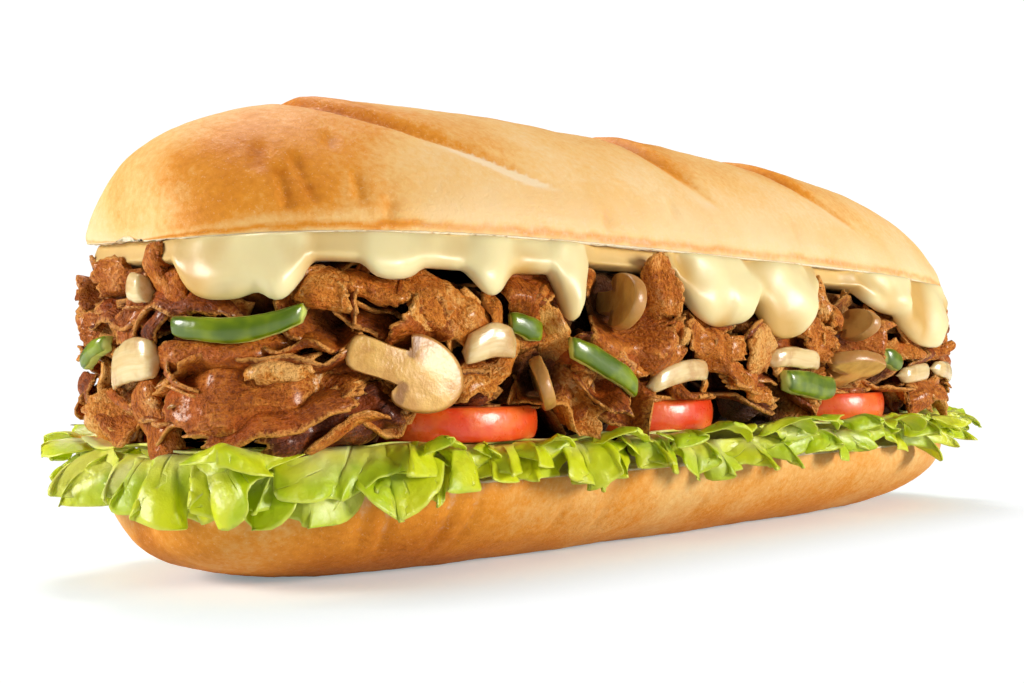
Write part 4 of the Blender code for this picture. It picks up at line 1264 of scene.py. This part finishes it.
# The large slices that show: place along the rim, height, growth, length, width, turns, curl, tint
LARGE_SLICES = (
    (28.5, 38.2, 3.6, 28, 13, (-0.30, -0.10, 0.0), 0.5, 0.50),
    (8.5, 33.5, 2.6, 17, 14, (0.25, 1.15, 0.0), 1.4, 0.55),
    (-5, 32.5, 3.0, 15, 12, (0.10, 0.35, 0.3), 1.0, 0.80),
    (38, 34.6, 4.4, 31, 7, (-0.95, -0.27, 0.0), 0.5, 0.42),
    (49, 33.4, 2.2, 29, 11, (0.15, -0.30, 0.0), -0.9, 0.06),
    (62, 38.0, 3.4, 13, 4.5, (-0.35, 0.5, 0.0), 0.6, 0.75),
    (26, 45.6, 2.2, 25, 7.5, (0.20, -0.06, 0.0), 1.5, 0.50),
    (39, 44.4, 3.2, 12, 6, (-0.60, -0.12, 0.0), 1.2, 0.85),
    (-13.5, 57.5, 3.0, 17, 8, (-0.10, 0.10, 1.1), 0.6, 0.55),
    (-10.5, 49.5, 3.2, 16, 9, (-0.30, 0.30, 0.9), 0.8, 0.50),
    (-3, 62.0, 1.6, 15, 8, (0.20, -0.20, 0.5), 0.8, 0.60),
    (4, 54.5, 2.0, 16, 9, (-0.20, -0.90, 0.3), 1.1, 0.45),
    (14, 60.5, 1.0, 15, 8, (0.10, 1.0, 0.0), 0.9, 0.60),
    (46, 58.0, 2.8, 12, 9, (0.20, 0.20, 0.0), 1.2, 0.70),
    (57, 59.4, 2.8, 16, 6.5, (-0.35, 0.25, 0.0), 1.5, 0.60),
    (73, 55.4, 3.6, 23, 10.5, (-0.15, 0.52, 0.0), 0.8, 0.68),
    (66, 50.6, 2.6, 14, 8.5, (0.10, -0.45, 0.0), -0.7, 0.45),
    (84.5, 54.6, 2.4, 12, 3.2, (0.10, 1.1, 0.0), 0.4, 0.75),
    (92, 58.3, 2.8, 12, 8.5, (-0.20, 1.25, 0.0), 0.7, 0.42),
    (101.5, 48.8, 3.8, 13, 9.5, (0.10, 0.95, 0.0), 1.3, 0.85),
    (111.5, 62.0, 0.6, 15, 6, (-0.30, 0.15, 0.0), 1.4, 0.60),
    (124, 49.4, 3.0, 24, 13, (0.28, 0.22, 0.0), 0.6, 0.52),
    (137, 46.5, 3.8, 14, 9.5, (0.0, -1.05, 0.0), 1.1, 0.60),
    (134.5, 61.0, 1.8, 14, 9, (0.0, 1.3, 0.0), 1.2, 0.68),
    (152, 48.6, 2.8, 19, 9.5, (-0.10, 0.28, 0.0), 0.6, 0.62),
    (159, 41.6, 3.4, 20, 6, (-0.55, 0.36, 0.0), 0.8, 0.55),
    (171, 46.6, 3.2, 15, 12, (0.20, -0.30, 0.0), -0.7, 0.88),
    (165, 38.4, 3.0, 17, 5, (-0.50, 0.30, 0.0), 0.8, 0.70),
    (199, 60.0, 1.6, 12, 8, (0.0, 1.2, 0.0), 1.3, 0.75),
    (207, 55.0, 2.6, 14, 6.5, (-0.30, 0.20, 0.0), 1.0, 0.58),
    (222, 51.5, 3.0, 18, 9, (0.20, 0.15, 0.0), 0.7, 0.55),
    (195, 49.0, 3.0, 15, 9, (-0.20, 0.45, 0.0), 1.2, 0.62),
    (243, 47.0, 3.0, 20, 6.5, (-0.45, 0.05, 0.0), 0.9, 0.70),
    (262, 35.5, 4.2, 24, 8.5, (-0.70, 0.10, 0.2), 0.8, 0.62),
    (251, 34.6, 3.2, 18, 7, (-0.40, -0.25, 0.0), 1.2, 0.55),
    (278, 49.0, 2.6, 16, 8, (-0.35, 0.15, -0.4), 0.9, 0.62),
    (283, 58.0, 2.0, 15, 9, (0.10, 0.9, -0.4), 1.1, 0.70),
    (292, 38.0, 3.0, 17, 9, (-0.30, 0.2, -0.5), 1.0, 0.55),
)
LARGE_CELLS = (18, 34)
LARGE_FAR_CELLS = (13, 22)

# Layers of slices: name, count round, rows, growth, turn about the rim, grid, lengths, seed
BEEF_LAYERS = (
    ("beef_deep_slices", 36, 3, (-10.5, -6.5), (-0.7, 0.5), (7, 12), (22, 34), 5),
    ("beef_middle_slices", 42, 3, (-6.5, -2.5), (-1.3, 0.3), (11, 18), (19, 30), 6),
    ("beef_outer_slices", 26, 3, (-2.0, 1.6), (-1.45, -0.1), (14, 26), (14, 25), 8),
)
BEEF_HEIGHTS = ((33.5, 40.5), (42, 50), (52, 61.5))


def large_slices(finish, shields, seed=4):
    """The slices that the photograph shows best, and their like on the far side."""
    draw = random.Random(seed)
    batch = Batch()
    for shift, cells in ((0, LARGE_CELLS), (HALF_RIM / MM, LARGE_FAR_CELLS)):
        for s, z, g, length, width, turn, curl, tint in LARGE_SLICES:
            place, size = (s + shift, g, z), (length * 1.08, width * 1.08)
            thick, ripple = draw.uniform(1.2, 1.8), draw.uniform(0.5, 1.1)
            curl = curl * draw.choice((-1, 1))
            add_shaving(batch, shields, draw, place, size, thick, turn, curl, ripple, tint, cells)
    batch.piece("beef_large_slices", ["beef_heap"], finish)


def beef_slices(finish, shields):
    """Layers of thin bent slices round the heap, each row at its own height."""
    for name, count, rows, grows, tilts, cells, lengths, seed in BEEF_LAYERS:
        draw = random.Random(seed)
        batch = Batch()
        for row in range(rows):
            for k in range(count):
                s = RIM / MM * (k + draw.uniform(-0.4, 0.4) + 0.5 * (row % 2)) / count
                place = (s, draw.uniform(*grows), draw.uniform(*BEEF_HEIGHTS[row]))
                length = draw.uniform(*lengths)
                size = (length, length * draw.uniform(0.42, 0.72))
                turn = (draw.uniform(*tilts), draw.gauss(0, 0.42), draw.gauss(0, 0.30))
                curl = draw.choice((-1, -1, 1)) * draw.uniform(0.4, 1.5)
                thick, ripple = draw.uniform(1.0, 1.6), draw.uniform(0.4, 1.2)
                tint = draw.betavariate(2.2, 2.4)
                add_shaving(batch, shields, draw, place, size, thick, turn, curl, ripple, tint, cells)
        batch.piece(name, ["beef_heap"], finish)


def beef_shreds(finish, shields, count=90, seed=9):
    """Thin torn shreds and small crisp bits lying over the slices."""
    draw = random.Random(seed)
    batch = Batch()
    for k in range(count):
        s = RIM / MM * (k + draw.uniform(-0.5, 0.5)) / count
        place = (s, draw.uniform(-0.5, 3.2), draw.uniform(33, 62))
        size = (draw.uniform(4, 14), draw.uniform(1.8, 4.2))
        turn = (draw.uniform(-0.8, 0.8), draw.gauss(0, 0.8), draw.gauss(0, 0.4))
        thick, curl, ripple = draw.uniform(0.9, 1.8), draw.uniform(-1.4, 1.4), draw.uniform(0.1, 0.6)
        tint = draw.betavariate(2.4, 2.0)
        add_shaving(batch, shields, draw, place, size, thick, turn, curl, ripple, tint, (6, 13))
    batch.piece("beef_shreds", ["beef_heap"], finish)


def beef_core(finish, around=240, levels=24):
    """The inside of the heap, which shows only in the gaps, painted near black as the shade there."""
    distance = (RIM * np.arange(around) / around)[None, :]
    share = np.linspace(0, 1, levels)[:, None]
    grow = -13 * MM - 5 * MM * np.abs(2 * share - 1) ** 6
    top = lid_over(distance, -15 * MM) - 6.4 * MM
    height = 25 * MM + (top - 25 * MM) * share
    spots = np.stack(np.broadcast_arrays(distance / MM, height / MM, 0 * height), -1)
    grow = grow + (2.2 * lumps(spots, 9, 81) + 0.9 * lumps(spots, 4, 82)) * MM
    rings = on_side(distance, grow, height)
    batch = Batch()
    count = rings.shape[0] * rings.shape[1] + 2
    grain = np.concatenate([spots.reshape(-1, 3), np.zeros((2, 3))])
    marks = {"tint": np.full(count, 0.25), "edge": np.zeros(count), "inward": np.ones(count)}
    batch.add(*tube(rings), grain=grain, **marks)
    batch.piece("beef_core", ["beef_heap"], finish)


# Floor, light and camera


SKY_LIGHT = 0.16
BACKDROP_LIGHT = 1.05
LAMPS = (
    # name, place, size, power
    ("front_right", (0.46, -1.00, 0.27), 0.42, 11.5),
    ("back_left", (-0.88, 0.40, 0.36), 0.36, 8.5),
    ("top_back", (0.15, 0.48, 0.98), 0.45, 6.5),
)
LAMP_AIM = (0, 0, 0.05)
LAMP_COLOUR = (1.0, 0.965, 0.92)
FLOOR_SIDE = 12.0
FLOOR_GLOW = 0.28
FOOTPRINT = (0.105, 0.0, 0.0)
FLOOR_WHITE_FROM, FLOOR_WHITE_AT = 0.022, 0.078


def floor():
    """A pale floor that runs into a white backdrop away from the sandwich."""
    mesh = bpy.data.meshes.new("floor")
    corners = ((-1, -1), (1, -1), (1, 1), (-1, 1))
    spots = [(x * FLOOR_SIDE, y * FLOOR_SIDE, -0.2 * MM) for x, y in corners]
    mesh.from_pydata(spots, [], [(0, 1, 2, 3)])
    made = bpy.data.objects.new("floor", mesh)
    bpy.context.scene.collection.objects.link(made)
    pale = Finish("pale_floor", specular_ior_level=0.1)
    mirrored = pale.add("ShaderNodeVectorMath", {0: pale.place()}, operation="ABSOLUTE")
    beyond = pale.add("ShaderNodeVectorMath", {0: mirrored, 1: FOOTPRINT}, operation="SUBTRACT")
    beyond = pale.add("ShaderNodeVectorMath", {0: beyond, 1: (0, 0, 0)}, operation="MAXIMUM")
    away = pale.add("ShaderNodeVectorMath", {0: beyond}, output=1, operation="LENGTH")
    white = pale.between(away, FLOOR_WHITE_FROM, FLOOR_WHITE_AT)
    glow = pale.add("ShaderNodeEmission", {"Color": (1, 1, 1, 1), "Strength": BACKDROP_LIGHT})
    seen = pale.add("ShaderNodeLightPath")
    lifted = pale.mix((0, 0, 0), (0.86, 0.98, 1.0), seen)
    pale.done(base_color=(0.84, 0.91, 0.95), roughness=0.9, emission_color=lifted)
    pale.shader.inputs["Emission Strength"].default_value = FLOOR_GLOW
    shaded = Value(pale, pale.shader.outputs[0])
    both = pale.add("ShaderNodeMixShader", {0: white * seen, 1: shaded, 2: glow})
    pale.feed(pale.tree.nodes["Material Output"].inputs["Surface"], both)
    mesh.materials.append(pale.material)


def sky():
    """White behind the sandwich, and a dimmer soft light from all round."""
    world = bpy.data.worlds.new("studio")
    bpy.context.scene.world = world
    world.use_nodes = True
    nodes, links = world.node_tree.nodes, world.node_tree.links
    shown, lit = nodes["Background"], nodes.new("ShaderNodeBackground")
    shown.inputs["Color"].default_value = (1, 1, 1, 1)
    shown.inputs["Strength"].default_value = BACKDROP_LIGHT
    lit.inputs["Color"].default_value = (1.0, 0.985, 0.96, 1)
    lit.inputs["Strength"].default_value = SKY_LIGHT
    seen = nodes.new("ShaderNodeLightPath")
    choice = nodes.new("ShaderNodeMixShader")
    links.new(seen.outputs["Is Camera Ray"], choice.inputs[0])
    links.new(lit.outputs[0], choice.inputs[1])
    links.new(shown.outputs[0], choice.inputs[2])
    links.new(choice.outputs[0], nodes["World Output"].inputs[0])


def lamps():
    for name, place, size, power in LAMPS:
        data = bpy.data.lights.new(name, "AREA")
        data.shape = "DISK"
        data.size = size
        data.energy = power
        data.color = LAMP_COLOUR
        lamp = bpy.data.objects.new(name, data)
        bpy.context.scene.collection.objects.link(lamp)
        gap = np.array(LAMP_AIM) - np.array(place)
        yaw = math.atan2(-gap[0], gap[1])
        tilt = math.atan2(math.hypot(gap[0], gap[1]), -gap[2])
        lamp.matrix_world = Matrix.Translation(place) @ Euler((tilt, 0, yaw)).to_matrix().to_4x4()


def camera():
    data = bpy.data.cameras.new("camera")
    data.lens = CAMERA_LENS
    data.sensor_width = 36
    data.clip_start, data.clip_end = 0.01, 50
    made = bpy.data.objects.new("camera", data)
    made.location = CAMERA_PLACE
    made.rotation_euler = [math.radians(a) for a in CAMERA_TURN]
    bpy.context.scene.collection.objects.link(made)
    bpy.context.scene.camera = made


def build():
    crust = crust_finish()
    upper_roll(crust)
    lower_roll(crust)
    lettuce(lettuce_finish())
    tomato_slices(tomato_finish())
    melted_cheese(cheese_finish())
    pepper, onion, sliced = pepper_finish(), onion_finish(), mushroom_finish()
    for name, label, shift in all_toppings():
        if name in MUSHROOMS:
            mushroom(name, label, shift, sliced)
        else:
            strip(name, label, shift, pepper if name in PEPPERS else onion)
    shields = topping_shields()
    beef = beef_finish("shaved_beef", 0.0)
    large_slices(beef, shields)
    beef_slices(beef, shields)
    beef_shreds(beef, shields)
    # The heap's inside gets a material painted darker, as the shade in the gaps.
    beef_core(beef_finish("beef_inside", 0.75))
    floor()
    sky()
    lamps()
    camera()
    bpy.context.scene.view_settings.view_transform = "Standard"


build()
